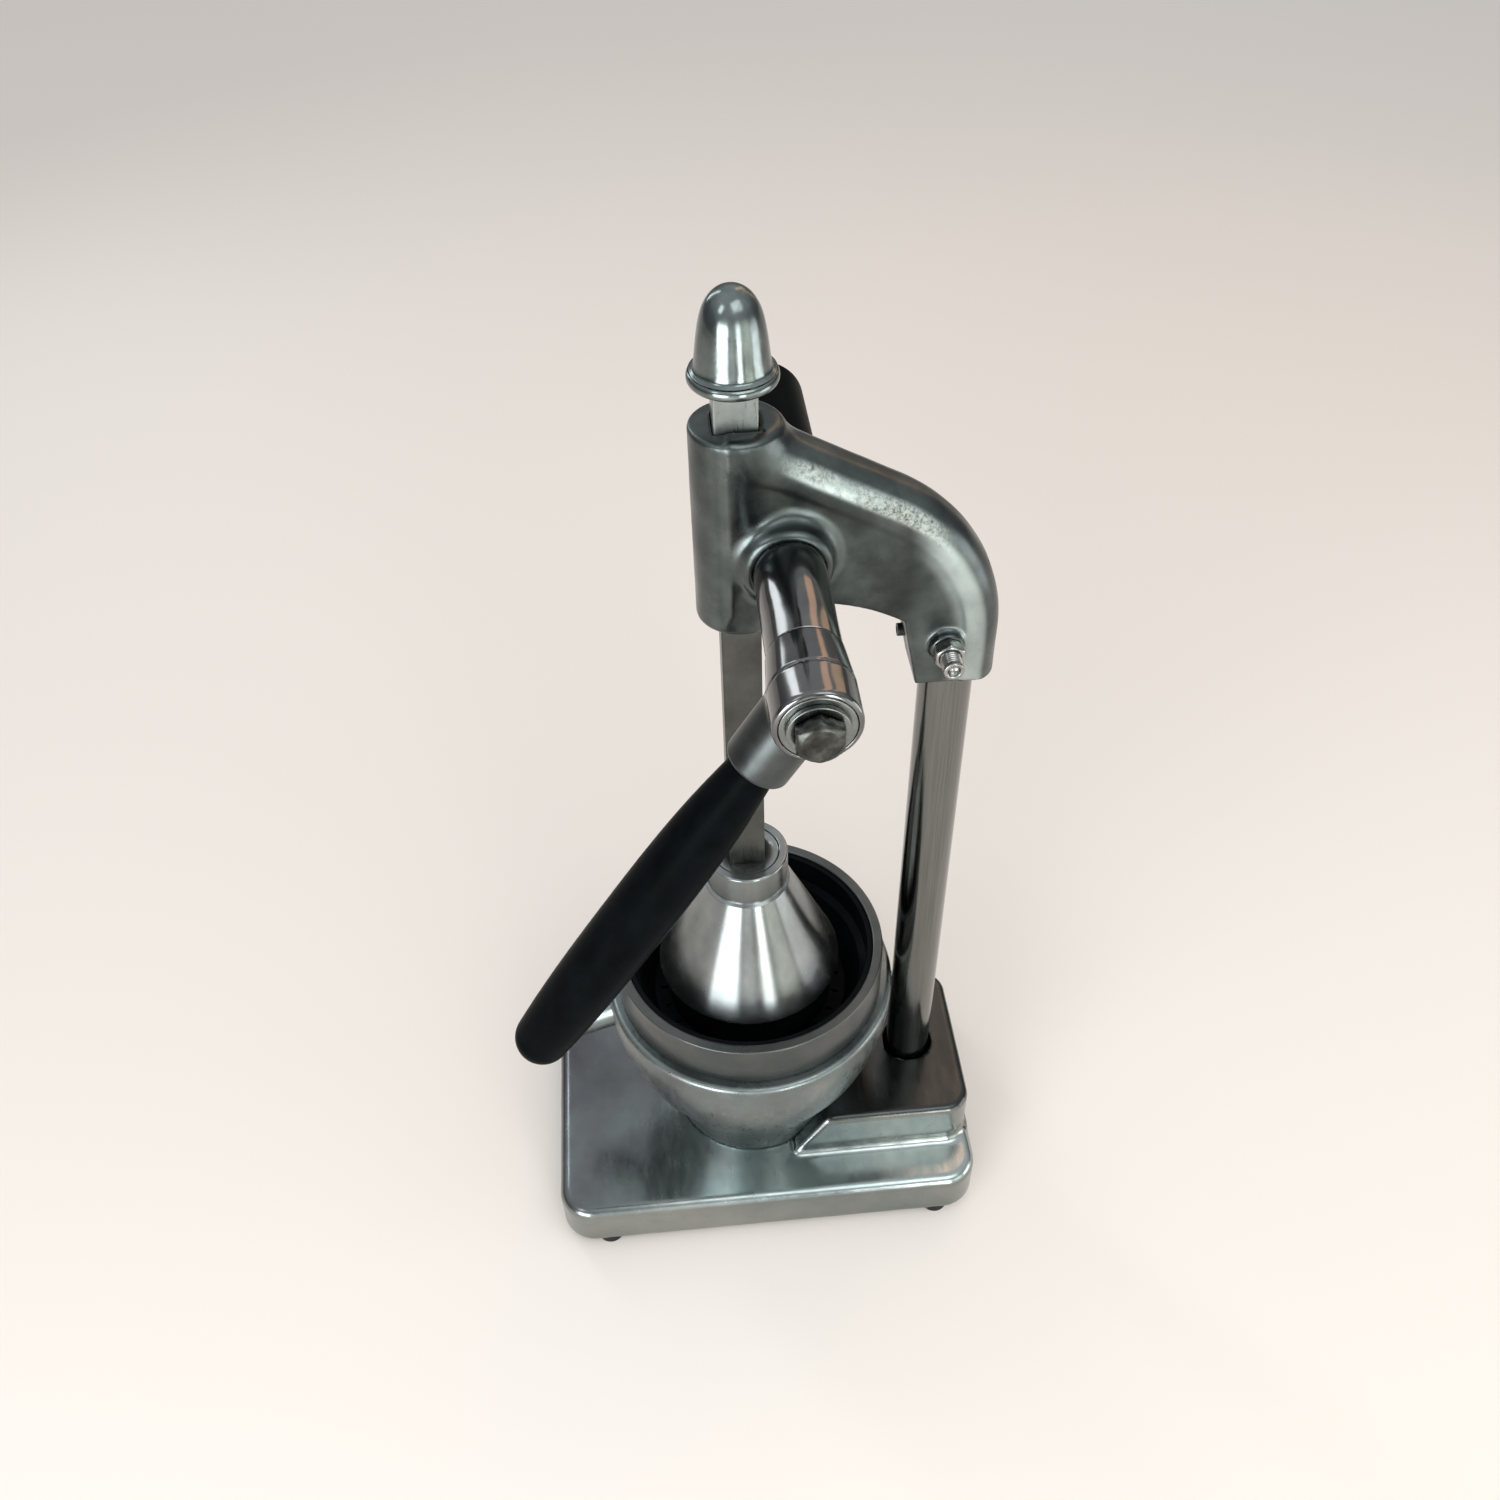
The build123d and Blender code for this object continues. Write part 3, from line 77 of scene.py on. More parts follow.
camera_data = bpy.data.cameras.new("press_camera")
camera_data.lens = CAMERA_LENS
camera_data.sensor_width = 36
camera_data.clip_start = 0.01
camera_data.clip_end = 50
camera = bpy.data.objects.new("press_camera", camera_data)
camera.matrix_world = Matrix.Translation(CAMERA_PLACE) @ turn.to_4x4()
bpy.context.scene.collection.objects.link(camera)
bpy.context.scene.camera = camera
bpy.context.scene.view_settings.view_transform = "Standard"
print("camera:", [round(v, 4) for v in camera.location])

# %% [markdown]
# ## Light and floor
# Polished metal shows its surroundings more than its own colour. The sky here is bright high up and dark
# near the horizon, which gives the dark flanks that this metal has, and a few soft lamps with narrow
# shapes draw the pale streaks along the cone, the tube and the column. The floor is a plain warm pale one.

# %% Sky
SKY_STOPS = [(0.0, (0.20, 0.20, 0.20)), (0.22, (0.28, 0.30, 0.30)), (0.50, (0.56, 0.59, 0.60)),
             (0.72, (0.72, 0.75, 0.76)), (1.0, (0.84, 0.88, 0.90))]

world = bpy.data.worlds.new("studio")
bpy.context.scene.world = world
world.use_nodes = True
sky = world.node_tree
sky.nodes.clear()
sky_out = sky.nodes.new("ShaderNodeOutputWorld")
sky_bg = sky.nodes.new("ShaderNodeBackground")
sky_ramp = sky.nodes.new("ShaderNodeValToRGB")
sky_split = sky.nodes.new("ShaderNodeSeparateXYZ")
sky_way = sky.nodes.new("ShaderNodeTexCoord")
sky.links.new(sky_way.outputs["Generated"], sky_split.inputs[0])
sky.links.new(sky_split.outputs["Z"], sky_ramp.inputs[0])
sky.links.new(sky_ramp.outputs[0], sky_bg.inputs["Color"])
sky.links.new(sky_bg.outputs[0], sky_out.inputs["Surface"])
while len(sky_ramp.color_ramp.elements) < len(SKY_STOPS):
    sky_ramp.color_ramp.elements.new(0.5)
for element, (position, colour) in zip(sky_ramp.color_ramp.elements, SKY_STOPS):
    element.position = position
    element.color = (*colour, 1)


# %% Lamps
def soft_lamp(name, place, aim, size, radiance, colour):
    """An area lamp at place, turned to shine on aim (metres). Its power is radiance times pi times area."""
    data = bpy.data.lights.new(name, "AREA")
    data.shape = "RECTANGLE"
    data.size, data.size_y = size
    data.energy = radiance * math.pi * size[0] * size[1]
    data.color = colour
    lamp = bpy.data.objects.new(name, data)
    lamp.location = place
    lamp.rotation_euler = (Vector(aim) - Vector(place)).to_track_quat("-Z", "Y").to_euler()
    lamp.visible_camera = False
    bpy.context.scene.collection.objects.link(lamp)


# Lamps round the cone: name, bearing from +X and span in degrees, radiance, colour.
CONE_LAMPS = [
    ("cone_lamp_left", -34, 32, 9.0, (0.93, 0.98, 1)),
    ("cone_lamp_gap", -4, 14, 1.0, (0.95, 1, 1)),
    ("cone_lamp_middle", 18, 12, 9.0, (0.95, 1, 0.97)),
    ("cone_lamp_right", 44, 24, 1.7, (0.93, 1, 0.86)),
]
CONE_LAMP_AWAY = 1.6
CONE_LAMP_HIGH = 0.80
CONE_AIM = (0, 0, 0.21)
for lamp_name, bearing, span, radiance, colour in CONE_LAMPS:
    bearing = math.radians(bearing)
    width = 2 * CONE_LAMP_AWAY * math.tan(math.radians(span) / 2)
    place = (CONE_LAMP_AWAY * math.cos(bearing), CONE_LAMP_AWAY * math.sin(bearing), CONE_LAMP_HIGH / 2)
    soft_lamp(lamp_name, place, CONE_AIM, (width, CONE_LAMP_HIGH), radiance, colour)

# Lamps that the head and the tube show: name, place, size, radiance, colour.
HEAD_LAMPS = [
    ("ceiling_lamp", (0.85, 0.50, 1.75), (1.10, 0.90), 2.3, (0.96, 1, 0.98)),
    ("window_lamp", (0.75, -1.0, 1.55), (0.34, 0.55), 4.0, (0.94, 0.98, 1)),
    ("tube_lamp", (-1.10, -0.83, 1.16), (0.22, 1.10), 4.4, (0.92, 0.97, 1)),
    ("warm_lamp", (-1.08, 0.62, 1.41), (0.26, 1.00), 1.6, (1, 0.55, 0.30)),
    ("brown_lamp", (-1.08, 1.0, 1.02), (0.18, 0.90), 1.3, (1, 0.62, 0.36)),
    ("bend_lamp", (0.36, 1.35, 0.30), (0.70, 0.60), 3.0, (0.97, 1, 1)),
]
HEAD_AIM = (0, 0.03, 0.45)
for lamp_name, place, size, radiance, colour in HEAD_LAMPS:
    soft_lamp(lamp_name, place, HEAD_AIM, size, radiance, colour)
print("lamps:", len(CONE_LAMPS) + len(HEAD_LAMPS))

# %% Floor
FLOOR_HALF = 4.0
floor_mesh = bpy.data.meshes.new("floor")
floor_mesh.from_pydata(
    [(-FLOOR_HALF, -FLOOR_HALF, 0), (FLOOR_HALF, -FLOOR_HALF, 0), (FLOOR_HALF, FLOOR_HALF, 0),
     (-FLOOR_HALF, FLOOR_HALF, 0)], [], [(0, 1, 2, 3)])
floor = bpy.data.objects.new("floor", floor_mesh)
bpy.context.scene.collection.objects.link(floor)


# %% [markdown]
# ## Finishes
# Each finish is a small node graph on Object coordinates: noise at a few scales for the mottled
# tone of a casting, long stretched noise for turned or drawn metal, and more noise for the bump. A
# painted image could do this too, but each piece would need a UV map for it, and close up it would
# blur. The base colours are low, well below clean aluminium's, so that the metal shows its pale
# surroundings darkly: painted shade that stands in for a darker room. The lamps give most of the
# bright lines, and the few that are painted are named where they are.

# %% Finish helpers
def grey(value, tint):
    """A grey of one value with a slight tint."""
    return tuple(value * t for t in tint)


class Finish:
    """A material with its Principled shader and short ways to add nodes."""

    def __init__(self, name, **values):
        self.material = bpy.data.materials.new(name)
        self.material.use_nodes = True
        self.tree = self.material.node_tree
        self.shader = self.tree.nodes["Principled BSDF"]
        self.place = self.node("ShaderNodeTexCoord").outputs["Object"]
        for key, value in values.items():
            self.shader.inputs[key.replace("_", " ")].default_value = value
        print("finish:", name)

    def node(self, kind, **settings):
        """A new node with its settings."""
        made = self.tree.nodes.new(kind)
        for key, value in settings.items():
            setattr(made, key, value)
        return made

    def link(self, source, target):
        """Joins two sockets."""
        self.tree.links.new(source, target)

    def stretched(self, scale):
        """Object coordinates times a scale on each axis, which stretches a noise."""
        mapping = self.node("ShaderNodeMapping")
        mapping.inputs["Scale"].default_value = scale
        self.link(self.place, mapping.inputs["Vector"])
        return mapping.outputs[0]

    def noise(self, scale, detail, vector=None, roughness=0.55):
        """Fractal noise with scale in cycles per metre."""
        made = self.node("ShaderNodeTexNoise")
        made.inputs["Scale"].default_value = scale
        made.inputs["Detail"].default_value = detail
        made.inputs["Roughness"].default_value = roughness
        self.link(vector or self.place, made.inputs["Vector"])
        return made.outputs["Fac"]

    def ramp(self, source, stops):
        """A colour ramp from (position, colour) stops."""
        made = self.node("ShaderNodeValToRGB")
        bar = made.color_ramp
        while len(bar.elements) < len(stops):
            bar.elements.new(0.5)
        for element, (position, colour) in zip(bar.elements, stops):
            element.position = position
            element.color = (*colour, 1)
        self.link(source, made.inputs[0])
        return made.outputs[0]

    def shades(self, source, tint, *stops):
        """A ramp of greys from (position, value) stops with one tint. A stop may name its own tint third."""
        return self.ramp(source, [(at, grey(value, own[0] if own else tint)) for at, value, *own in stops])

    def between(self, source, low, high, start=0.3, end=0.7):
        """A number from low to high as source goes from start to end."""
        made = self.node("ShaderNodeMapRange")
        for key, value in (("From Min", start), ("From Max", end), ("To Min", low), ("To Max", high)):
            made.inputs[key].default_value = value
        self.link(source, made.inputs["Value"])
        return made.outputs[0]

    def attribute(self, name):
        """A number that the mesh stores at its points."""
        return self.node("ShaderNodeAttribute", attribute_name=name).outputs["Fac"]

    def blend(self, share, low, high, kind="RGBA"):
        """Low where share is 0 and high where it is 1, for colours or for plain numbers. The Mix node has
        sockets for each kind under the same names, so they are picked by their place in its list."""
        made = self.node("ShaderNodeMix", data_type=kind)
        slots = {"RGBA": (6, 7, 2), "FLOAT": (2, 3, 0)}[kind]
        self.link(share, made.inputs[0])
        self.link(low, made.inputs[slots[0]])
        self.link(high, made.inputs[slots[1]])
        return made.outputs[slots[2]]

    def times(self, first, second):
        """The product of two numbers."""
        made = self.node("ShaderNodeMath", operation="MULTIPLY")
        self.link(first, made.inputs[0])
        self.link(second, made.inputs[1])
        return made.outputs[0]

    def bump(self, *heights):
        """Chained bumps from (source, strength, distance in metres)."""
        normal = None
        for source, strength, distance in heights:
            made = self.node("ShaderNodeBump")
            made.inputs["Strength"].default_value = strength
            made.inputs["Distance"].default_value = distance
            self.link(source, made.inputs["Height"])
            if normal is not None:
                self.link(normal, made.inputs["Normal"])
            normal = made.outputs[0]
        self.link(normal, self.shader.inputs["Normal"])

    def use(self, socket, source):
        """Drives a shader socket."""
        self.link(source, self.shader.inputs[socket])


# %% Floor finish
FLOOR_TONES = [(0.3, (0.81, 0.735, 0.685)), (0.7, (0.80, 0.725, 0.675))]
pale_floor = Finish("pale_floor", Roughness=0.95, Specular_IOR_Level=0.1)
pale_floor.use("Base Color", pale_floor.ramp(pale_floor.noise(1.2, 1), FLOOR_TONES))
floor_mesh.materials.append(pale_floor.material)

# %% [markdown]
# ### The castings
# The head is buffed, and its broad sides are painted darker than its roundings: painted shade. A painted
# highlight runs as a bright band along the upper rounding of the arm and on over the bend, and on the arm
# the rough skin of the mould is left in that band, painted bright as that highlight between its pits. A
# material could look for these places by the surface's normal, but it can't tell the arm's rounding from
# a boss's. The script that makes the mesh can, so three numbers on the mesh say where. The base has such
# numbers too: painted light on its walls, painted shade on its raised top, a painted highlight on its
# oblique facet, and a slab that is lighter towards the back.

# %% Cast and buffed aluminium of the head
NEUTRAL = (1, 1, 1)
GREEN_GREY = (0.87, 1.0, 0.99)
PALE_GREEN = (0.93, 1.0, 0.93)
cast_head = Finish("cast_head", Metallic=1)
mottle = cast_head.noise(48, 6)
pits = cast_head.noise(520, 5, roughness=0.75)
patches = cast_head.between(cast_head.noise(42, 3), 0.15, 1.0, 0.36, 0.58)
rough_band = cast_head.times(cast_head.attribute("as_cast"), patches)
# Tones: plain buffed metal, painted shade for the broad sides, a painted highlight for the band along the
# arm's rounding, and that highlight broken by the rough skin's dark pits.
buffed_tone = cast_head.shades(mottle, GREEN_GREY, (0.30, 0.065), (0.50, 0.10), (0.72, 0.15))
side_tone = cast_head.shades(mottle, GREEN_GREY, (0.30, 0.032), (0.50, 0.055), (0.72, 0.095))
band_tone = cast_head.shades(mottle, GREEN_GREY, (0.30, 0.36), (0.70, 0.55))
rough_tone = cast_head.shades(pits, PALE_GREEN, (0.36, 0.05), (0.45, 0.30), (0.62, 0.60))
plain_tone = cast_head.blend(cast_head.attribute("broad_side"), buffed_tone, side_tone)
bright_tone = cast_head.blend(cast_head.attribute("bright_band"), plain_tone, band_tone)
cast_head.use("Base Color", cast_head.blend(rough_band, bright_tone, rough_tone))
buffed_gloss = cast_head.between(cast_head.noise(30, 4), 0.24, 0.40, 0.35, 0.65)
rough_gloss = cast_head.between(pits, 0.42, 0.62)
cast_head.use("Roughness", cast_head.blend(rough_band, buffed_gloss, rough_gloss, "FLOAT"))
cast_head.bump((cast_head.times(rough_band, pits), 0.7, 0.0012), (cast_head.noise(70, 4), 0.16, 0.0010),
               (cast_head.noise(1100, 3), 0.06, 0.0002))

# %% Buffed aluminium of the base
WARM_GREEN = (0.97, 1, 0.97)
COLD_GREY = (0.95, 0.97, 1)
buffed_base = Finish("buffed_base", Metallic=1)
mottle = buffed_base.noise(16, 5)
smear = buffed_base.noise(240, 3, buffed_base.stretched((0.3, 1.0, 1.0)))
# Tones: the slab top lighter at the back and darker at the front, painted shade for the raised top, painted
# light for the walls, and a painted highlight for the oblique facet.
rubbed_tone = buffed_base.shades(mottle, GREEN_GREY, (0.30, 0.28), (0.50, 0.37), (0.72, 0.48, WARM_GREEN))
dull_tone = buffed_base.shades(
    mottle, GREEN_GREY, (0.30, 0.10, (0.96, 0.96, 1.04)), (0.50, 0.15, (0.94, 0.97, 1.02)), (0.72, 0.23))
raised_tone = buffed_base.shades(mottle, (0.95, 1, 0.98), (0.30, 0.038), (0.70, 0.065))
side_tone = buffed_base.shades(mottle, GREEN_GREY, (0.30, 0.20), (0.70, 0.33, (0.97, 1, 0.95)))
facet_tone = buffed_base.shades(mottle, COLD_GREY, (0.30, 0.85), (0.70, 0.95))
slab_tone = buffed_base.blend(buffed_base.attribute("rubbed"), dull_tone, rubbed_tone)
flat_tone = buffed_base.blend(buffed_base.attribute("raised"), slab_tone, raised_tone)
wall_tone = buffed_base.blend(buffed_base.attribute("facet"), side_tone, facet_tone)
buffed_base.use("Base Color", buffed_base.blend(buffed_base.attribute("flank"), flat_tone, wall_tone))
buffed_base.use("Roughness", buffed_base.between(smear, 0.16, 0.28))
buffed_base.bump((buffed_base.noise(60, 2), 0.08, 0.0008), (smear, 0.03, 0.0002))

# %% Dull aluminium of the pot
dull_pot = Finish("dull_pot", Metallic=1)
blotch = dull_pot.noise(26, 6)
streak = dull_pot.noise(300, 4, dull_pot.stretched((1.0, 1.0, 0.25)))
dull_pot.use("Base Color", dull_pot.shades(
    blotch, GREEN_GREY, (0.30, 0.16, (0.97, 1, 1.0)), (0.52, 0.22), (0.72, 0.30, (1, 0.99, 0.97))))
dull_pot.use("Roughness", dull_pot.between(streak, 0.24, 0.42))
dull_pot.bump((dull_pot.noise(80, 4), 0.15, 0.0008), (streak, 0.05, 0.0002))

# %% [markdown]
# ### The steels
# The column is drawn, so its lines run upwards. The bar is ground and oiled, and where it stands out
# above the head it is painted lighter, as painted light. The tube and the hub are chromed, with soft
# waves in their mirror, and the hub's socket is left satin. Washers and screws are plated, and the end
# bolt's plating is darker. To the shader all of these are one metal. What tells them apart is how rough
# they are and which way their marks run, so each finish is noise, drawn out along the marks where the
# real one has them.

# %% Drawn and polished steel of the column
drawn_steel = Finish("drawn_steel", Metallic=1)
lines = drawn_steel.noise(1100, 3, drawn_steel.stretched((1.0, 1.0, 0.02)))
drawn_steel.use("Base Color", drawn_steel.shades(
    lines, (1, 1, 0.95), (0.3, 0.145), (0.7, 0.195, (1, 1, 0.96))))
drawn_steel.use("Roughness", drawn_steel.between(lines, 0.12, 0.20))
drawn_steel.bump((lines, 0.04, 0.0001))

# %% Ground and oiled steel of the bar
CLEAN_FROM = 0.46
CLEAN_TO = CLEAN_FROM + 0.03
bar_steel = Finish("bar_steel", Metallic=1)
stain = bar_steel.noise(40, 5)
scratch = bar_steel.noise(1400, 3, bar_steel.stretched((1.0, 1.0, 0.05)))
height = bar_steel.node("ShaderNodeSeparateXYZ")
bar_steel.link(bar_steel.place, height.inputs[0])
# Above a height the bar is painted lighter: painted light where it stands out above the head.
clean = bar_steel.between(height.outputs["Z"], 0, 1, CLEAN_FROM, CLEAN_TO)
oiled_tone = bar_steel.shades(stain, (0.97, 1, 0.94), (0.3, 0.065), (0.7, 0.12))
clean_tone = bar_steel.shades(stain, (0.93, 1, 0.97), (0.3, 0.20), (0.7, 0.34))
bar_steel.use("Base Color", bar_steel.blend(clean, oiled_tone, clean_tone))
bar_steel.use("Roughness", bar_steel.between(scratch, 0.26, 0.40))
bar_steel.bump((scratch, 0.06, 0.0001))

# %% Chrome of the shaft's tube
chrome = Finish("mirror_chrome", Metallic=1)
haze = chrome.noise(60, 4)
chrome.use("Base Color", chrome.shades(haze, NEUTRAL, (0.3, 0.14), (0.7, 0.18)))
chrome.use("Roughness", chrome.between(haze, 0.09, 0.16))
chrome.bump((chrome.noise(34, 1), 0.35, 0.0022))

# %% Satin plating of the washers
satin = Finish("satin_plate", Metallic=1)
satin.use("Base Color", satin.shades(
    satin.noise(70, 5), (0.93, 1, 0.97), (0.3, 0.15), (0.7, 0.24, (0.95, 1, 0.97))))
satin.use("Roughness", satin.between(satin.noise(180, 4), 0.20, 0.32))
satin.bump((satin.noise(900, 3), 0.05, 0.0001))

# %% Darker plating of the end bolt
bolt_steel = Finish("bolt_steel", Metallic=1)
wear = bolt_steel.noise(140, 5)
bolt_steel.use("Base Color", bolt_steel.shades(
    wear, (0.97, 1, 0.90), (0.3, 0.030), (0.5, 0.050), (0.75, 0.13, (0.97, 1, 0.92))))
bolt_steel.use("Roughness", bolt_steel.between(wear, 0.24, 0.40))
bolt_steel.bump((bolt_steel.noise(500, 4), 0.08, 0.0002))

# %% Lever hub: chrome body, satin socket
SOCKET_FROM = 0.0176
SOCKET_TO = SOCKET_FROM + 0.0004
hub_finish = Finish("hub_plate", Metallic=1)
shaft_middle = [(a + b) / 2 for a, b in zip(*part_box("shaft_sleeve"))]
from_shaft = hub_finish.node("ShaderNodeMapping")
from_shaft.inputs["Location"].default_value = (0, -shaft_middle[1], -shaft_middle[2])
from_shaft.inputs["Scale"].default_value = (0, 1, 1)
hub_finish.link(hub_finish.place, from_shaft.inputs["Vector"])
reach = hub_finish.node("ShaderNodeVectorMath", operation="LENGTH")
hub_finish.link(from_shaft.outputs[0], reach.inputs[0])
on_socket = hub_finish.between(reach.outputs["Value"], 0, 1, SOCKET_FROM, SOCKET_TO)
cloud = hub_finish.noise(70, 5)
body_tone = hub_finish.shades(cloud, NEUTRAL, (0.3, 0.14), (0.7, 0.18))
socket_tone = hub_finish.shades(cloud, (0.90, 1, 1.0), (0.3, 0.055), (0.7, 0.095, (0.92, 1, 1.0)))
hub_finish.use("Base Color", hub_finish.blend(on_socket, body_tone, socket_tone))
hub_finish.use("Roughness", hub_finish.between(on_socket, 0.12, 0.34, 0, 1))
hub_finish.bump((hub_finish.noise(34, 1), 0.30, 0.0022), (hub_finish.noise(900, 3), 0.04, 0.0001))

# %% Polished steel of the knob
knob_steel = Finish("knob_steel", Metallic=1)
smudge = knob_steel.noise(120, 5, knob_steel.stretched((1.0, 1.0, 0.5)))
knob_steel.use("Base Color", knob_steel.shades(smudge, GREEN_GREY, (0.3, 0.13), (0.7, 0.27)))
knob_steel.use("Roughness", knob_steel.between(knob_steel.noise(90, 5), 0.15, 0.27))
knob_steel.bump((knob_steel.noise(80, 3), 0.20, 0.0010))

# %% Plated fasteners and dark steel
zinc = Finish("plated_steel", Metallic=1)
zinc.use("Base Color", zinc.shades(zinc.noise(300, 4), NEUTRAL, (0.3, 0.20), (0.7, 0.38, (1, 0.99, 0.93))))
zinc.use("Roughness", zinc.between(zinc.noise(500, 3), 0.18, 0.34))
dark_steel = Finish("dark_steel", Metallic=1)
dark_steel.use("Base Color", dark_steel.shades(dark_steel.noise(400, 3), NEUTRAL, (0.3, 0.03), (0.7, 0.08)))
dark_steel.use("Roughness", dark_steel.between(dark_steel.noise(500, 3), 0.35, 0.5))

# %% [markdown]
# ### Turned metal, bronze and black plastic
# Spinning leaves fine rings, which spread a reflection along the cone. The shader's anisotropy does the
# same, with its tangent turned round Z, so the lamps' streaks run from the collar to the mouth. Rings
# in the bump could do it only if they were finer than a pixel. Black plastic has almost no colour, so
# its look is its gloss, and a low index of refraction keeps that weak.

# %% Spun aluminium of the cone
spun = Finish("spun_aluminium", Metallic=1, Anisotropic=0.8, Anisotropic_Rotation=0.25)
rings = spun.noise(1300, 3, spun.stretched((0.03, 0.03, 1.0)))
wiped = spun.noise(60, 5, spun.stretched((1.0, 1.0, 0.25)))
spun.use("Base Color", spun.shades(wiped, (0.93, 1, 1), (0.3, 0.22), (0.7, 0.34, (0.95, 1, 1))))
spun.use("Roughness", spun.between(spun.noise(110, 4), 0.21, 0.28))
spun.use("Tangent", spun.node("ShaderNodeTangent", direction_type="RADIAL", axis="Z").outputs[0])
spun.bump((rings, 0.03, 0.0001))

# %% Ground aluminium of the band
ground_band = Finish("ground_band", Metallic=1)
turning = ground_band.noise(1000, 3, ground_band.stretched((0.03, 0.03, 1.0)))
ground_band.use("Base Color", ground_band.shades(
    ground_band.noise(34, 4), GREEN_GREY, (0.3, 0.085), (0.7, 0.125, WARM_GREEN)))
ground_band.use("Roughness", ground_band.between(turning, 0.26, 0.38))
ground_band.bump((turning, 0.04, 0.0001))

# %% Bronze of the bushes
BRONZE_TONES = [(0.3, (0.45, 0.28, 0.12)), (0.7, (0.58, 0.38, 0.18))]
bronze = Finish("bush_bronze", Metallic=1)
bronze.use("Base Color", bronze.ramp(bronze.noise(300, 3), BRONZE_TONES))
bronze.use("Roughness", bronze.between(bronze.noise(700, 3), 0.3, 0.45))

# %% Black plastic and rubber
GRIP_TONES = [(0.35, (0.0016, 0.0022, 0.0026)), (0.75, (0.0034, 0.0044, 0.0052))]
black_grip = Finish("black_grip", Specular_IOR_Level=0.25, IOR=1.09)
scuffs = black_grip.noise(160, 5, black_grip.stretched((1.0, 0.35, 0.35)))
black_grip.use("Base Color", black_grip.ramp(scuffs, GRIP_TONES))
black_grip.use("Roughness", black_grip.between(scuffs, 0.30, 0.42))
black_grip.bump((black_grip.noise(1400, 3), 0.08, 0.0001))
black_bowl = Finish("black_bowl", Specular_IOR_Level=0.3, IOR=1.14)
black_bowl.use("Base Color", black_bowl.shades(
    black_bowl.noise(90, 4), (0.9, 1, 1.2), (0.3, 0.0035), (0.7, 0.006)))
black_bowl.use("Roughness", black_bowl.between(black_bowl.noise(250, 4), 0.30, 0.45))
black_bowl.bump((black_bowl.noise(1200, 2), 0.06, 0.0001))
rubber = Finish("foot_rubber", Specular_IOR_Level=0.2)
rubber.use("Base Color", rubber.shades(rubber.noise(200, 4), NEUTRAL, (0.3, 0.006), (0.7, 0.014)))
rubber.use("Roughness", rubber.between(rubber.noise(700, 3), 0.6, 0.8))
rubber.bump((rubber.noise(1500, 2), 0.1, 0.0001))

# %% [markdown]
# ## Making surfaces
# Turned pieces are an outline carried round an axis. The outline's corners become arcs, with a holding
# point beside each arc, so that the flats stay flat under smooth shading and the edges catch a thin
# bright line. A Screw modifier could carry it round too, but the points of a grid can still be moved
# afterwards, as the pot's unevenness needs. All points are worked out as whole arrays.

# %% Outlines with round corners
ARC_STEPS = 6
HOLD = 0.25


def rounded(corners, closed=False):
    """An outline (mm) through corners (across, along, radius). A corner with a radius becomes an arc
    that touches both sides: its ends lie radius / tan(half the inner angle) from the corner, and a
    holding point lies just outside each end."""
    spots = [np.array(c[:2], float) for c in corners]
    line = []
    for i, (here, corner) in enumerate(zip(spots, corners)):
        radius = corner[2]
        if radius == 0:
            line.append(here)
            continue
        back = spots[i - 1] - here
        ahead = spots[(i + 1) % len(spots)] - here
        back /= np.linalg.norm(back)
        ahead /= np.linalg.norm(ahead)
        half = 0.5 * math.acos(float(np.clip(back @ ahead, -1, 1)))
        reach = radius / math.tan(half)
        inward = (back + ahead) / np.linalg.norm(back + ahead)
        centre = here + inward * radius / math.sin(half)
        first = here + back * reach - centre
        last = here + ahead * reach - centre
        turn = math.pi - 2 * half
        share = np.linspace(0, 1, ARC_STEPS + 1)[:, None]
        arc = (np.sin((1 - share) * turn) * first + np.sin(share * turn) * last) / math.sin(turn)
        line += [here + back * (reach + HOLD), *(centre + arc), here + ahead * (reach + HOLD)]
    if closed:
        line.append(line[0])
    return np.array(line)


# %% Grids and turned shapes
def tidy_mesh(mesh):
    """Merges doubled points, drops faces without area and turns the faces outwards."""
    work = bmesh.new()
    work.from_mesh(mesh)
    bmesh.ops.remove_doubles(work, verts=work.verts, dist=1e-6)
    bmesh.ops.dissolve_degenerate(work, edges=work.edges, dist=1e-7)
    bmesh.ops.recalc_face_normals(work, faces=work.faces)
    work.to_mesh(mesh)
    work.free()


def finished(name, mesh, finish):
    """An object at the origin with smooth faces and its material."""
    mesh.shade_smooth()
    mesh.materials.append(finish.material)
    made = bpy.data.objects.new(name, mesh)
    bpy.context.scene.collection.objects.link(made)
    print(name, len(mesh.vertices), "points")
    return made


def piece(name, grid, finish):
    """A mesh object from a grid of points (mm), rows by columns. The columns wrap round, doubled
    points are merged, and the faces are turned outwards."""
    rows, columns = grid.shape[:2]
    here = np.arange(rows * columns).reshape(rows, columns)
    ahead = np.roll(here, -1, axis=1)
    faces = np.stack([here[:-1], ahead[:-1], ahead[1:], here[1:]], axis=-1).reshape(-1, 4)
    mesh = bpy.data.meshes.new(name)
    mesh.from_pydata((grid.reshape(-1, 3) * MM).tolist(), [], faces.tolist())
    tidy_mesh(mesh)
    return finished(name, mesh, finish)


def turned(outline, axis="Z", centre=(0, 0), steps=128):
    """A grid of points: outline (across, along) carried round an axis through centre. At angle a a
    point lies at (across cos a, across sin a) off the axis, and along it."""
    angle = np.arange(steps) * math.tau / steps
    across = outline[:, :1] * np.cos(angle)
    beside = outline[:, :1] * np.sin(angle)
    along = outline[:, 1:] + 0 * angle
    if axis == "Z":
        return np.stack([across + centre[0], beside + centre[1], along], axis=-1)
    return np.stack([along, across + centre[0], beside + centre[1]], axis=-1)


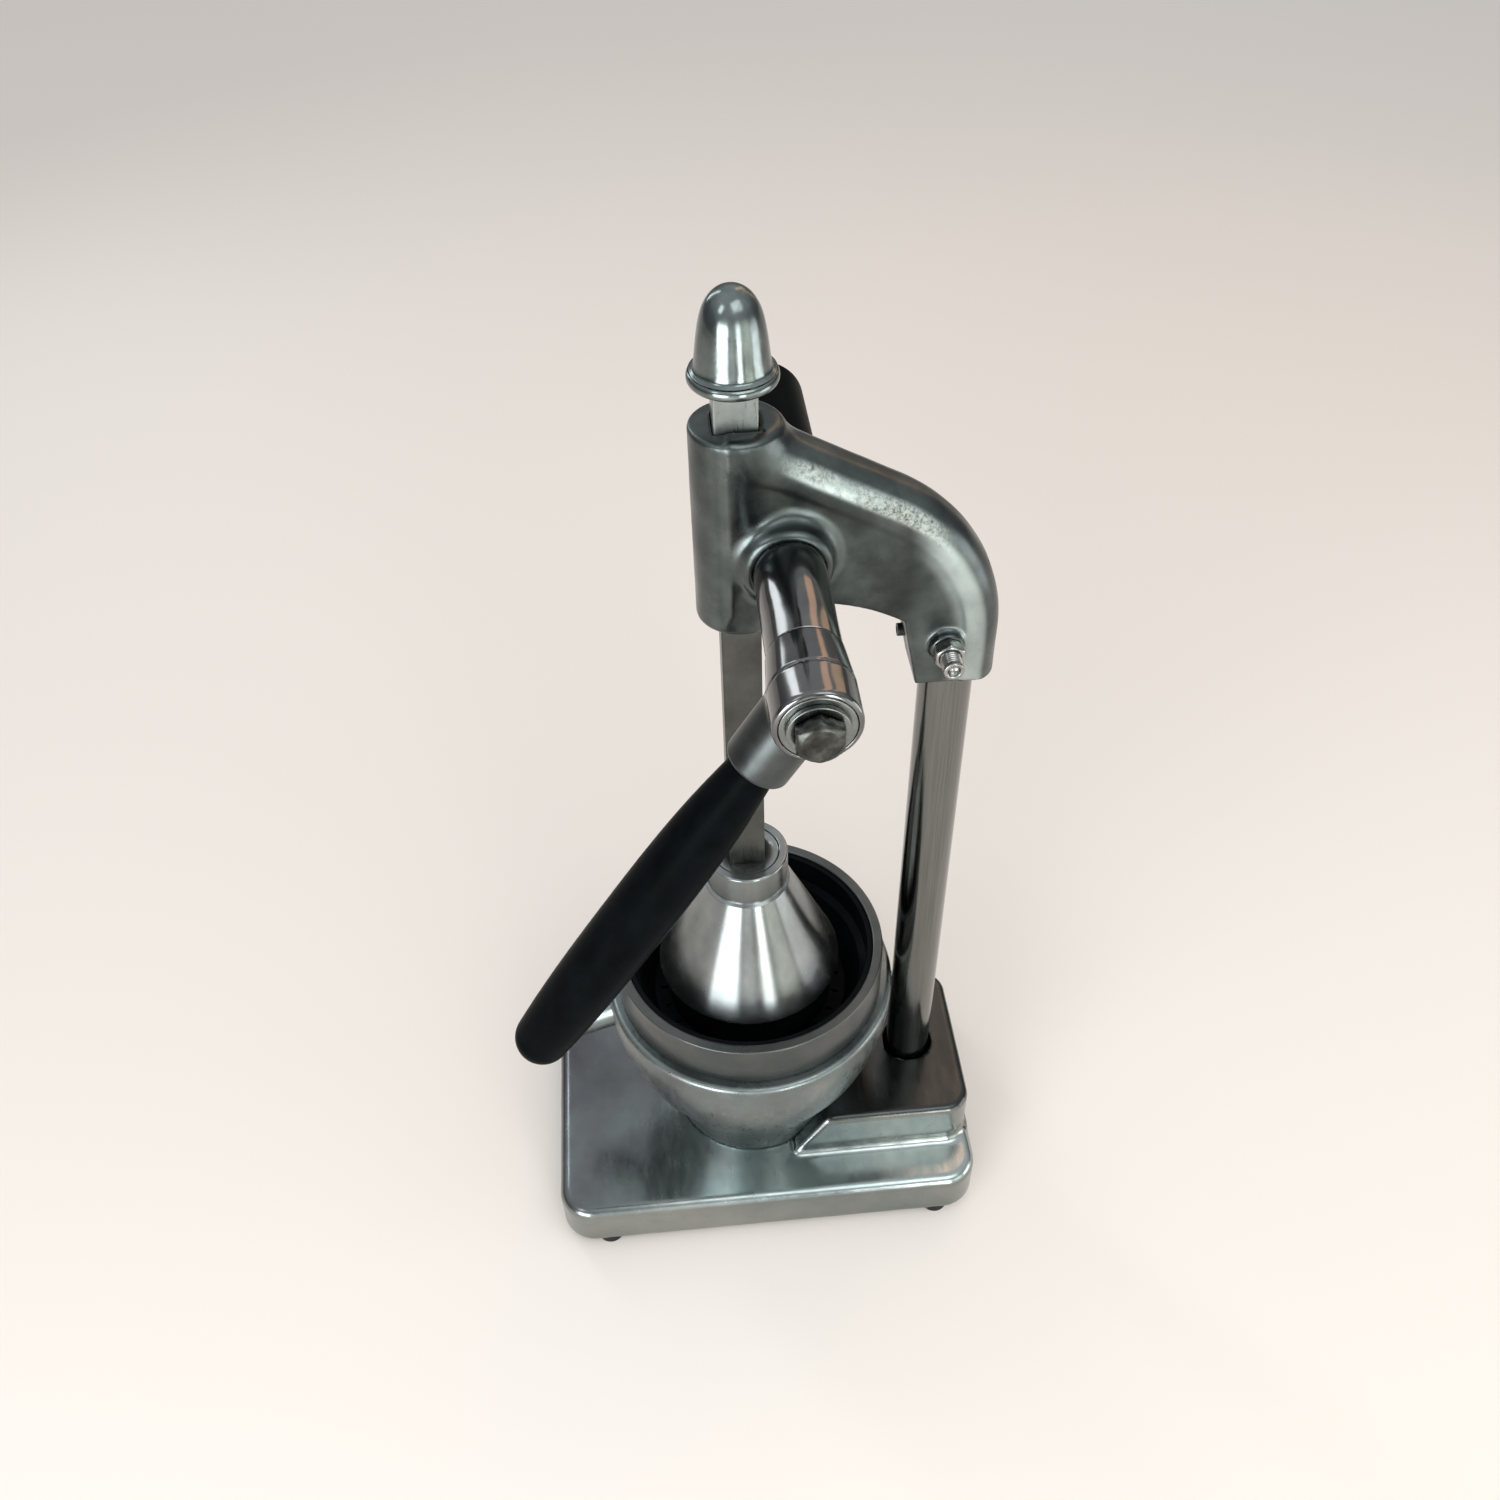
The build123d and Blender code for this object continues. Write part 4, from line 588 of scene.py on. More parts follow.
def stands_for(made, body, slot, *names):
    """The new piece rides on a body and hides the CAD nodes that it stands for. Its slot is not used."""
    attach(made, body)
    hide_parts(*names)


def stored(made, **shares):
    """Keeps numbers from 0 to 1 on the mesh's points, which a finish reads by their name."""
    for name, values in shares.items():
        made.data.attributes.new(name, "FLOAT", "POINT").data.foreach_set("value", values)


def low(name):
    """A node's lowest corner in mm."""
    return np.array(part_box(name)[0]) / MM


def high(name):
    """A node's highest corner in mm."""
    return np.array(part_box(name)[1]) / MM


# %% [markdown]
# ## The head casting
# A casting has no sharp inside corners: its housing, arm and bosses flow into each other. Bevels on the
# solid's own edges would break down where so many round forms meet, and a distance field has no edges
# to break. Each form is a signed distance, two forms join by a smooth minimum, and a fine even skin of
# the CAD solid walks along the field's slope until it lies where the field is zero.

# %% Distance fields
def rounded_corner(first, second, edge):
    """Where two distances meet at an outside corner: outside both it is their hypotenuse less the
    edge's radius, and elsewhere the larger of the two."""
    outside = np.hypot(np.maximum(first, 0), np.maximum(second, 0))
    return np.minimum(np.maximum(first, second), 0) + outside - edge


def blended(first, second, size):
    """Smooth minimum of two distances, which leaves a fillet of about this size between them."""
    share = np.clip(0.5 + 0.5 * (second - first) / size, 0, 1)
    return second * (1 - share) + first * share - size * share * (1 - share)


def rod_field(points, axis, centre, radius, start, end, edge=0.0):
    """Distance to a cylinder along an axis (0, 1 or 2) from start to end, with rounded ends."""
    others = [i for i in range(3) if i != axis]
    ring = np.hypot(points[:, others[0]] - centre[0], points[:, others[1]] - centre[1]) - radius
    reach = np.abs(points[:, axis] - (start + end) / 2) - (end - start) / 2
    return rounded_corner(ring + edge, reach + edge, edge)


def polygon_field(across, up, corners):
    """Distance to a closed outline: the least distance to its sides, negative inside, which is
    where a line to one side crosses the outline an odd number of times."""
    start = np.array(corners, float)
    end = np.roll(start, -1, axis=0)
    side = end - start
    from_start = np.stack([across, up], axis=-1)[:, None] - start
    share = np.clip((from_start * side).sum(-1) / (side * side).sum(-1), 0, 1)
    distance = np.linalg.norm(from_start - share[..., None] * side, axis=-1).min(axis=1)
    spans = (start[:, 1] > up[:, None]) != (end[:, 1] > up[:, None])
    rise = np.where(side[:, 1] == 0, 1, side[:, 1])
    crossing = start[:, 0] + side[:, 0] * (up[:, None] - start[:, 1]) / rise
    odd = (spans & (across[:, None] < crossing)).sum(axis=1) % 2
    return np.where(odd == 1, -distance, distance)


def lumps(points, height):
    """The soft unevenness of a hand-finished casting: a few crossing waves, 17 to 45 mm long."""
    waves = [(0.21, 0.13, 0.07), (-0.11, 0.23, 0.17), (0.17, -0.09, 0.31), (0.05, 0.36, -0.12)]
    return height * sum(np.sin(points @ np.array(w) + 2 * i) for i, w in enumerate(waves)) / len(waves)


def ramp01(values, start, end):
    """0 up to start, 1 from end, and a smooth step between."""
    share = np.clip((values - start) / (end - start), 0, 1)
    return share * share * (3 - 2 * share)


SLOPE_STEP = 0.05
WALK_STEPS = 5
LONGEST_STEP = 2
LEAST_STEEP = 0.2


def slope_of(field, points):
    """The field's slope at each point, by differences along X, Y and Z."""
    steps = np.eye(3) * SLOPE_STEP
    return np.stack([field(points + s) - field(points - s) for s in steps], axis=-1) / (2 * SLOPE_STEP)


def cast_skin(name, source, voxel, field, finish, keep=None):
    """A casting's skin: a copy of a CAD node is merged and remeshed into small even squares (voxel in
    mm), then each point walks down the field's slope until the field is zero. Points that keep says
    are on a bore stay."""
    work = bmesh.new()
    work.from_mesh(nodes[source].data)
    bmesh.ops.remove_doubles(work, verts=work.verts, dist=1e-6)
    rough = bpy.data.meshes.new(name + "_rough")
    work.to_mesh(rough)
    work.free()
    carrier = bpy.data.objects.new(name + "_rough", rough)
    bpy.context.scene.collection.objects.link(carrier)
    remesh = carrier.modifiers.new("even", "REMESH")
    remesh.mode = "VOXEL"
    remesh.voxel_size = voxel * MM
    even = carrier.evaluated_get(bpy.context.evaluated_depsgraph_get())
    mesh = bpy.data.meshes.new_from_object(even)
    mesh.name = name
    bpy.data.objects.remove(carrier)
    points = np.empty(len(mesh.vertices) * 3)
    mesh.vertices.foreach_get("co", points)
    points = points.reshape(-1, 3) / MM
    moving = np.ones(len(points), bool) if keep is None else ~keep(points)
    walked = points[moving]
    for _ in range(WALK_STEPS):
        slope = slope_of(field, walked)
        steep = np.maximum((slope * slope).sum(-1), LEAST_STEEP)
        walked -= (np.clip(field(walked), -LONGEST_STEP, LONGEST_STEP) / steep)[:, None] * slope
    points[moving] = walked
    mesh.vertices.foreach_set("co", (points * MM).ravel())
    mesh.update()
    return finished(name, mesh, finish), points


# %% The head's own sizes
shaft_y, shaft_z = (low("shaft_sleeve")[1:] + high("shaft_sleeve")[1:]) / 2
sleeve_r = (high("shaft_sleeve")[2] - low("shaft_sleeve")[2]) / 2
column_y = (low("column")[1] + high("column")[1]) / 2
column_r = (high("column")[0] - low("column")[0]) / 2
head_low, head_high = low("head_casting"), high("head_casting")
HOUSING_R = 19.0
HOUSING_LOW = 418.5
HOUSING_EDGE = 2.0
ARM_HALF = 15.2
ARM_SLOPE = math.radians(28.7)
ARM_BEND_R = 89.5
ARM_BEND_Z = 402.0
ARM_EDGE = 13.6
ARM_UNDER_EDGE = 2.5
ARM_TOP_Z = head_high[2] - 2
CREASE_DEPTH = 0.7
CREASE_SPAN = (16.0, 19.0)
boss_rear = head_high[1]
boss_low = head_low[2]
boss_front = column_y - column_r - 4.6
bend_y = boss_rear - ARM_BEND_R
print("shaft at", shaft_y, shaft_z, "column at", column_y, "bend round", bend_y)

# %% Arm
BROW = (boss_front - 7.2, 415.0)
UNDER_RUN = (-42.0, 14.0)
UNDER_NORMAL = (0.316, 0.949)
UNDER_BOW = 2.9
BEYOND_FRONT, BEYOND_REAR, BEYOND_TOP = -60, 200, 700


def under_line():
    """The arm's lower side from the boss's foot to the housing: a front slope, then a line that is
    bowed by 4 t (1 - t) along its normal."""
    share = np.linspace(0, 1, 9)[:, None]
    bow = UNDER_BOW * 4 * share * (1 - share) * np.array(UNDER_NORMAL)
    bowed = np.array(BROW) + share * np.array(UNDER_RUN) + bow
    return [(boss_front, boss_low), *bowed.tolist(), (BEYOND_FRONT, BROW[1] + UNDER_RUN[1])]


under_corners = [
    (BEYOND_REAR, boss_low), *under_line(), (BEYOND_FRONT, BEYOND_TOP), (BEYOND_REAR, BEYOND_TOP)]


def arm_field(points):
    """The arm: a straight ridge that turns into an upright back round the bend's centre, with large
    round edges, cut off below by the under line with small ones."""
    across, along, up = points.T
    turn = np.arctan2(up - ARM_BEND_Z, along - bend_y)
    ridge = (along - bend_y) * math.sin(ARM_SLOPE) + (up - ARM_BEND_Z) * math.cos(ARM_SLOPE) - ARM_BEND_R
    bend = np.hypot(along - bend_y, up - ARM_BEND_Z) - ARM_BEND_R
    back = np.where(turn < 0, along - boss_rear, np.where(turn > math.pi / 2 - ARM_SLOPE, ridge, bend))
    side = np.abs(across) - ARM_HALF + CREASE_DEPTH * ramp01(-back, *CREASE_SPAN)
    upper = rounded_corner(back + ARM_EDGE, side + ARM_EDGE, ARM_EDGE)
    under = polygon_field(along, up, under_corners)
    lower = rounded_corner(under + ARM_UNDER_EDGE, side + ARM_UNDER_EDGE, ARM_UNDER_EDGE)
    return np.maximum.reduce([upper, lower, up - ARM_TOP_Z, -along])


# %% Bosses and holes of the head
ROOT_BOSS_R, ROOT_BOSS_END, ROOT_BOSS_EDGE = 19.0, 25, 3.5
FAR_BOSS_R, FAR_BOSS_EDGE = 17.0, 0.5
LOCK_PAD_R, LOCK_PAD_END, LOCK_PAD_EDGE = 7.8, 19.0, 1.5
LOCK_R, LOCK_Z = 4.5, 402.0
ARM_FILLET, ROOT_FILLET, FAR_FILLET, PAD_FILLET = 9, 7, 5, 2.5
HEAD_LUMPS = 0.10
BAR_HOLE_HALF = 9.1
SLEEVE_HOLE_FROM = -10.5
BUSH_HOLE_R, BUSH_HOLE_FROM = 9.5, -32.5
COLUMN_HOLE = (300, 440)
FRONT_HOLE_R, FRONT_HOLE_Z = 3.0, 400
THROUGH = 40
SNUG = 0.35
lock_y = (low("head_lock_screw")[1] + high("head_lock_screw")[1]) / 2


def head_holes(points):
    """Distance to the holes for the bar, the tube, the bush, the column and the two screws."""
    shaft = (shaft_y, shaft_z)
    bar_hole = np.maximum(np.abs(points[:, 0]), np.abs(points[:, 1])) - BAR_HOLE_HALF
    sleeve_hole = rod_field(points, 0, shaft, sleeve_r - SNUG, SLEEVE_HOLE_FROM, THROUGH)
    bush_hole = rod_field(points, 0, shaft, BUSH_HOLE_R, BUSH_HOLE_FROM, 0)
    column_hole = rod_field(points, 2, (0, column_y), column_r - SNUG, *COLUMN_HOLE)
    lock_hole = rod_field(points, 0, (lock_y, LOCK_Z), LOCK_R - SNUG, 0, THROUGH)
    front_hole = rod_field(points, 1, (0, FRONT_HOLE_Z), FRONT_HOLE_R, THROUGH, column_y)
    return np.minimum.reduce([bar_hole, sleeve_hole, bush_hole, column_hole, lock_hole, front_hole])


def head_field(points):
    """Housing, arm and bosses joined by smooth minima, less the holes."""
    shaft = (shaft_y, shaft_z)
    housing = rod_field(points, 2, (0, 0), HOUSING_R, HOUSING_LOW, head_high[2], HOUSING_EDGE)
    root = rod_field(points, 0, shaft, ROOT_BOSS_R, 0, ROOT_BOSS_END, ROOT_BOSS_EDGE)
    far = rod_field(points, 0, shaft, FAR_BOSS_R, head_low[0], 0, FAR_BOSS_EDGE)
    pad = rod_field(points, 0, (lock_y, LOCK_Z), LOCK_PAD_R, 0, LOCK_PAD_END, LOCK_PAD_EDGE)
    outer = blended(blended(housing, arm_field(points), ARM_FILLET), root, ROOT_FILLET)
    outer = blended(blended(outer, far, FAR_FILLET), pad, PAD_FILLET) + lumps(points, HEAD_LUMPS)
    return np.maximum(outer, -head_holes(points))


# %% Head
HEAD_VOXEL = 1.1
head_skin, head_points = cast_skin("head_skin", "head_casting", HEAD_VOXEL, head_field, cast_head)
stands_for(head_skin, "stand", "cast_satin", "head_casting")

# %% Where the head is rough, and where its highlight and shade are painted
# Each pair of values is the span over which a share goes from 0 to 1. The painted highlight band keeps
# to faces that look partly sideways and partly up. On the bend it moves in from the rounding onto the side.
ARM_NEAR = 1.5
ARM_SPAN = (14, 34)
ROUNDING = (0.62, 0.82)
BROAD = (0.965, 0.995)
UPWARD = (0.02, 0.12)
CAST_ENDS = (74, 94)
BEND_SPAN = (70, 88)
BEND_BAND = (ARM_BEND_R - 24, ARM_BEND_R - 15)
BEND_FACING = (0.86, 0.97)
BEND_SHARE = 0.8
BROAD_SIDE = (0.80, 0.98)

arm_slope = slope_of(arm_field, head_points)
facing_side = np.abs(arm_slope[:, 0])
on_arm = (np.abs(arm_field(head_points)) < ARM_NEAR) * ramp01(head_points[:, 1], *ARM_SPAN)
bright_band = ramp01(facing_side, *ROUNDING) * (1 - ramp01(facing_side, *BROAD)) * on_arm
bright_band *= ramp01(arm_slope[:, 1] + arm_slope[:, 2], *UPWARD)
# The rough skin lies in the painted highlight band: its colour is that highlight broken by dark pits, and
# its roughness and bump are the real rough skin.
as_cast = bright_band * (1 - ramp01(head_points[:, 1], *CAST_ENDS))
from_bend = np.hypot(head_points[:, 1] - bend_y, head_points[:, 2] - ARM_BEND_Z)
on_bend = ramp01(head_points[:, 1], *BEND_SPAN) * on_arm
inner_edge = ramp01(from_bend, *BEND_BAND) * ramp01(facing_side, *BEND_FACING)
bright_band = bright_band * (1 - on_bend) + on_bend * inner_edge * BEND_SHARE
# Painted shade: the broad sides that face straight out are darker, except on the bend.
broad_side = ramp01(np.abs(slope_of(head_field, head_points)[:, 0]), *BROAD_SIDE) * (1 - on_bend)
stored(head_skin, as_cast=as_cast, bright_band=bright_band, broad_side=broad_side)
print("rough points on the head:", int((as_cast > 0.5).sum()))

# %% [markdown]
# ## The base casting
# The same field method gives the base: a slab with a round plan and a raised platform whose foot flows
# into the slab. The pocket for the pot, the column's socket and the hollow underside stay as the solid
# has them, because other parts sit in them.

# %% Base
base_low, base_high = low("base_casting"), high("base_casting")
base_half_length = (base_high[1] - base_low[1]) / 2
slab_mid_y = (base_low[1] + base_high[1]) / 2
SLAB_TOP = 37.5
SLAB_CORNER = 20.0
SLAB_EDGE = 6.0
SLAB_LOW_EDGE = 1.5
PLATFORM_HALF = 51.5
PLATFORM_CORNER = 15.0
PLATFORM_EDGE = 4.0
PLATFORM_INSET = 2
PLATFORM_FOOT_Y = 21.0
PLATFORM_SLOPE = math.atan2(33, 19)
FOOT_FILLET = 6
BASE_LUMPS = 0.08
BASE_VOXEL = 1.3
DEEP = -0.9
UNDERSIDE = 0.6


def plan_field(points, half_width, half_length, mid_y, corner):
    """Distance in plan to a rectangle with round corners."""
    beside = np.abs(points[:, 0]) - half_width + corner
    along = np.abs(points[:, 1] - mid_y) - half_length + corner
    return rounded_corner(beside, along, corner)


def base_field(points):
    """The slab and the platform, joined by a smooth minimum."""
    up = points[:, 2]
    plan = plan_field(points, base_high[0], base_half_length, slab_mid_y, SLAB_CORNER)
    slab = rounded_corner(plan + SLAB_EDGE, up - SLAB_TOP + SLAB_EDGE, SLAB_EDGE)
    foot = rounded_corner(plan + SLAB_LOW_EDGE, base_low[2] - up + SLAB_LOW_EDGE, SLAB_LOW_EDGE)
    walls = plan_field(points, PLATFORM_HALF, base_high[1] - PLATFORM_INSET, 0, PLATFORM_CORNER)
    away = -(points[:, 1] - PLATFORM_FOOT_Y) * math.sin(PLATFORM_SLOPE)
    front = away + (up - SLAB_TOP) * math.cos(PLATFORM_SLOPE)
    walls = rounded_corner(walls + PLATFORM_INSET, front + PLATFORM_INSET, PLATFORM_INSET)
    platform = rounded_corner(walls + PLATFORM_EDGE, up - base_high[2] + PLATFORM_EDGE, PLATFORM_EDGE)
    return blended(np.maximum(slab, foot), platform, FOOT_FILLET) + lumps(points, BASE_LUMPS)


def on_bore(points):
    """Points that lie deep in the outer form, so on a bore, a pocket or the hollow underside."""
    return (base_field(points) < DEEP) | (points[:, 2] < base_low[2] + UNDERSIDE)


base_skin, base_points = cast_skin(
    "base_skin", "base_casting", BASE_VOXEL, base_field, buffed_base, on_bore)
stands_for(base_skin, "stand", "cast_base", "base_casting")

# %% Painted light on the walls, shade on the raised top and highlight on the oblique facet; the slab lighter at the back
FLAT = (0.25, 0.75)
RAISED_Z = (SLAB_TOP + 20, SLAB_TOP + 26)
FACET_FRONT = (0.30, 0.55)
FACET_SIDE = (0.12, 0.35)
FACET_Z = (SLAB_TOP + 2, SLAB_TOP + 5)
FACET_Y = (0, 10)
RUBBED_SPAN = (-70, 15)
RUBBED_SKEW = 0.35

base_slope = slope_of(base_field, base_points)
# Painted highlight: the oblique facet on the platform's front is nearly white, with a cold tint.
facet = ramp01(-base_slope[:, 1], *FACET_FRONT) * ramp01(np.abs(base_slope[:, 0]), *FACET_SIDE)
facet *= ramp01(base_points[:, 2], *FACET_Z) * ramp01(base_points[:, 1], *FACET_Y)
flank = np.maximum(1 - ramp01(np.abs(base_slope[:, 2]), *FLAT), facet)
# Painted shade: the raised top of the platform is darker than the slab.
raised = ramp01(base_points[:, 2], *RAISED_Z)
# The slab top is lighter towards the back and darker towards the front left.
rubbed = ramp01(base_points[:, 1] + RUBBED_SKEW * base_points[:, 0], *RUBBED_SPAN)
stored(base_skin, flank=flank, raised=raised, facet=facet, rubbed=rubbed)
print("facet points on the base:", int((facet > 0.5).sum()))

# %% [markdown]
# ## The pot and its band
# The pot is one bowl-shaped form on the real press, so one turned surface stands for both of its CAD
# nodes, and no seam shows between them. Its flank is a smooth curve through four radii, with the same
# faint unevenness as the castings. The band is a bright ring with a small lip.

# %% Pot
POT_R = 81.0
POT_SHOULDER = 148.0
POT_LEDGE = 155.4
POT_TOP = 160.0
POT_EDGE = 3.2
BAND_SEAT_R = 73.2
POT_BORE_R = 69.0
BASIN_FLOOR = 131.0
BASIN_UNDER = 125.0
POT_FOOT = 37.6
POT_FLANK = [(46.5, POT_FOOT), (56.9, 70.0), (73.0, 105.8), (POT_R, POT_SHOULDER)]
POT_INSIDE = [(0.0, BASIN_UNDER), (60.0, BASIN_UNDER), (52.4, 70.0), (42.0, POT_FOOT)]
FOOT_LEAN = 0.25
POT_LUMPS = 0.10
FINE_STEPS = 192
CURVE_STEPS = 12


def smooth_curve(stops, first_slope, last_slope):
    """Radius against height through stops, each stretch a cubic whose slope at a stop is that of the
    line between the stops beside it."""
    radius, height = np.array(stops).T
    slope = np.gradient(radius, height)
    slope[0], slope[-1] = first_slope, last_slope
    share = np.linspace(0, 1, CURVE_STEPS, endpoint=False)[:, None]
    span = np.diff(height)
    rise = (1 + 2 * share) * (1 - share) ** 2 * radius[:-1] + share ** 2 * (3 - 2 * share) * radius[1:]
    lean = share * (1 - share) ** 2 * slope[:-1] * span - share ** 2 * (1 - share) * slope[1:] * span
    heights = height[:-1] + share * span
    line = np.stack([(rise + lean).T.ravel(), heights.T.ravel()], axis=-1)
    return np.vstack([line, [radius[-1], height[-1]]])


pot_side = smooth_curve(POT_FLANK, FOOT_LEAN, 0.0)
pot_top = rounded([
    (POT_R, POT_SHOULDER, 0), (POT_R, POT_LEDGE, POT_EDGE), (BAND_SEAT_R, POT_LEDGE, 0.3),
    (BAND_SEAT_R, POT_TOP, 0.3), (POT_BORE_R, POT_TOP, 0.6), (POT_BORE_R, BASIN_FLOOR, 4.0),
    (0.0, BASIN_FLOOR, 0)])
pot_line = np.vstack([pot_side, pot_top[1:], POT_INSIDE, pot_side[:1]])
pot_grid = turned(pot_line, steps=FINE_STEPS)
pot_flat = pot_grid.reshape(-1, 3)
pot_out = np.hypot(pot_flat[:, 0], pot_flat[:, 1])[:, None]
pot_flat[:, :2] *= 1 + lumps(pot_flat, POT_LUMPS)[:, None] / np.maximum(pot_out, 20)
pot_body = piece("pot_body", pot_flat.reshape(pot_grid.shape), dull_pot)
stands_for(pot_body, "stand", "cast_base", "juice_pot", "pot_collar")

# %% Band
band_r, band_top = high("bowl_band")[0], high("bowl_band")[2]
BAND_SILL_R, BAND_SILL = 65.0, 163.0
BAND_BORE_R = 69.0
LIP_Z = POT_LEDGE + 0.9
band_line = rounded([
    (BAND_SILL_R, BAND_SILL, 0.3), (BAND_SILL_R, POT_TOP, 0.3), (BAND_SEAT_R, POT_TOP, 0.3),
    (BAND_SEAT_R, POT_LEDGE, 0.2), (band_r - 0.5, POT_LEDGE, 0.2), (band_r - 0.4, LIP_Z, 0.2),
    (band_r, LIP_Z + 0.4, 0.2), (band_r, band_top, 0.9), (BAND_BORE_R, band_top, 1.4),
    (BAND_BORE_R, BAND_SILL, 0.3)], closed=True)
band_ring = piece("band_ring", turned(band_line, steps=FINE_STEPS), ground_band)
stands_for(band_ring, "stand", "spun_aluminium", "bowl_band")

# %% [markdown]
# ## The cone and the knob
# The cone is spun from sheet, with a small step under its collar, and the collar's top is a shallow
# dish round the bar. The knob is a tapered flank that closes in a ball, on a rounded flange. Both could
# be cut from solids, but in an outline each step, lip and rounding is a few numbers. The knob's flank
# has a formula instead, because no one arc fits it.

# %% Cone
cone_r, cone_low, cone_top = high("press_cone")[0], low("press_cone")[2], high("press_cone")[2]
COLLAR_R = 21.8
COLLAR_LOW = 239.5
COLLAR_STEP = 0.9
CONE_BORE_R = 9.0
DISH_R = 17.5
DISH_DEPTH = 1.0
SKIN = 2.2
dish_floor = cone_top - DISH_DEPTH
cone_inside = COLLAR_LOW - 5
step_r = COLLAR_R - COLLAR_STEP
cone_line = rounded([
    (cone_r - SKIN, cone_low, 0.6), (cone_r, cone_low, 0.7), (COLLAR_R + COLLAR_STEP, COLLAR_LOW - 1.6, 0.8),
    (step_r, COLLAR_LOW - 0.6, 0.3), (step_r, COLLAR_LOW + 1.4, 0.3), (COLLAR_R, COLLAR_LOW + 1.8, 0.4),
    (COLLAR_R, cone_top, 1.2), (DISH_R, cone_top, 0.9), (DISH_R - 0.8, dish_floor, 0.8),
    (CONE_BORE_R, dish_floor, 0), (CONE_BORE_R, cone_inside, 0), (COLLAR_R - 1, cone_inside, 1.0)],
    closed=True)
cone_shell = piece("cone_shell", turned(cone_line, steps=FINE_STEPS), spun)
stands_for(cone_shell, "rack", "spun_aluminium", "press_cone")

# %% Knob
# With s from 0 at the foot to 1 at the top, the dome's radius is FOOT_R (1 - s / 4) sqrt(1 - s ** 5).
knob_r, knob_low, knob_top = high("top_knob")[0], low("top_knob")[2], high("top_knob")[2]
FLANGE = 5.2
FOOT_R = 15.3
flange_top = knob_low + FLANGE
foot_z = flange_top + 1.6
share = 1 - np.linspace(1, 0, 40) ** 2
dome = np.stack([FOOT_R * (1 - share / 4) * np.sqrt(1 - share ** 5),
                 foot_z + share * (knob_top - foot_z)], axis=-1)
knob_foot = rounded([
    (0.0, knob_low, 0), (knob_r, knob_low, 2.2), (knob_r, flange_top, 2.5),
    (FOOT_R + 1.7, flange_top, 0.5), (FOOT_R + 0.5, flange_top + 0.9, 0.5), (FOOT_R, foot_z, 0)])
knob_ball = piece("knob_ball", turned(np.vstack([knob_foot, dome[1:]])), knob_steel)
stands_for(knob_ball, "rack", "polished_steel", "top_knob")

# %% [markdown]
# ## The rack bar
# The bar is a square with small bevels whose teeth stand in its rear face. From the lever's side only a
# plain edge shows, so a thin cheek is left on each side of the teeth. One outline is carried up the bar,
# and only its points between the cheeks step in at each gap between two teeth. A Boolean for each gap
# would give the same form, at the price of twelve cuts.

# %% Rack bar
BAR_HALF = 9.0
BAR_BEVEL = 0.8
REAR_BEVEL = 0.5
CHEEK = 0.9
CHEEK_SIDE = 0.02
GAP_DEPTH = 4.85
GAP_HALF_OUT = 2.8
GAP_HALF_IN = 1.1
TOOTH_PITCH = 2.5 * math.pi
FIRST_GAP, LAST_GAP = -9, 2
bar_low, bar_top = low("rack_bar")[2], knob_low + 0.01
inner = BAR_HALF - CHEEK
bar_outline = rounded([
    (-BAR_HALF, -BAR_HALF, BAR_BEVEL), (BAR_HALF, -BAR_HALF, BAR_BEVEL), (BAR_HALF, BAR_HALF, REAR_BEVEL),
    (inner, BAR_HALF, 0), (inner - CHEEK_SIDE, BAR_HALF, 0), (CHEEK_SIDE - inner, BAR_HALF, 0),
    (-inner, BAR_HALF, 0), (-BAR_HALF, BAR_HALF, REAR_BEVEL)])
gaps = shaft_z + np.arange(FIRST_GAP, LAST_GAP + 1)[:, None] * TOOTH_PITCH
gap_levels = (gaps + np.array([-GAP_HALF_OUT, -GAP_HALF_IN, GAP_HALF_IN, GAP_HALF_OUT])).ravel()
gap_depths = np.tile([0.0, GAP_DEPTH, GAP_DEPTH, 0.0], len(gaps))
levels = np.concatenate([[bar_low, bar_low], gap_levels, [bar_top, bar_top]])
depths = np.concatenate([[0, 0], gap_depths, [0, 0]])
bar_grid = np.empty((len(levels), len(bar_outline), 3))
bar_grid[..., :2] = bar_outline
bar_grid[..., 2] = levels[:, None]
between_cheeks = (np.abs(bar_outline[:, 0]) < inner - 0.01) & (bar_outline[:, 1] > BAR_HALF - 0.01)
bar_grid[..., 1] -= between_cheeks * depths[:, None]
bar_grid[[0, -1], :, :2] = 0
square_bar = piece("square_bar", bar_grid, bar_steel)
square_bar.data.shade_flat()
stands_for(square_bar, "rack", "polished_steel", "rack_bar")
print("bar from", bar_low, "to", bar_top, "with", len(gaps), "gaps")

# %% [markdown]
# ## The lock screw and the end bolt
# A hexagon head is a grid too: at each angle the radius is the hexagon's, held back by the round bevel
# that a real head has on its face. A Bevel modifier would cut the edges straight, where that bevel is a
# cone and leaves curves on the flats. A thread is a radius that rises and falls along a helix. The
# tables below give how deep a row lies under the end or the face, and its radius or share of the radius
# there.

# %% Hexagon heads and threads
THREAD_STEPS = 48
ROWS_A_TURN = 10


def hex_grid(across_flats, levels, centre, steps=96):
    """Rows of a hexagon along X. Each level (along, limit) gives a place and the largest radius there,
    and the radius at angle a is the lesser of the limit and the hexagon's, half its width across the
    flats over the cosine of the angle from the nearest flat's middle."""
    angle = np.arange(steps) * math.tau / steps
    from_flat = (angle + math.pi / 6) % (math.pi / 3) - math.pi / 6
    hexagon = across_flats / 2 / np.cos(from_flat)
    along, limit = np.array(levels, float).T
    radius = np.minimum(hexagon, limit[:, None])
    return np.stack([along[:, None] + 0 * radius, centre[0] + radius * np.cos(angle),
                     centre[1] + radius * np.sin(angle)], axis=-1)


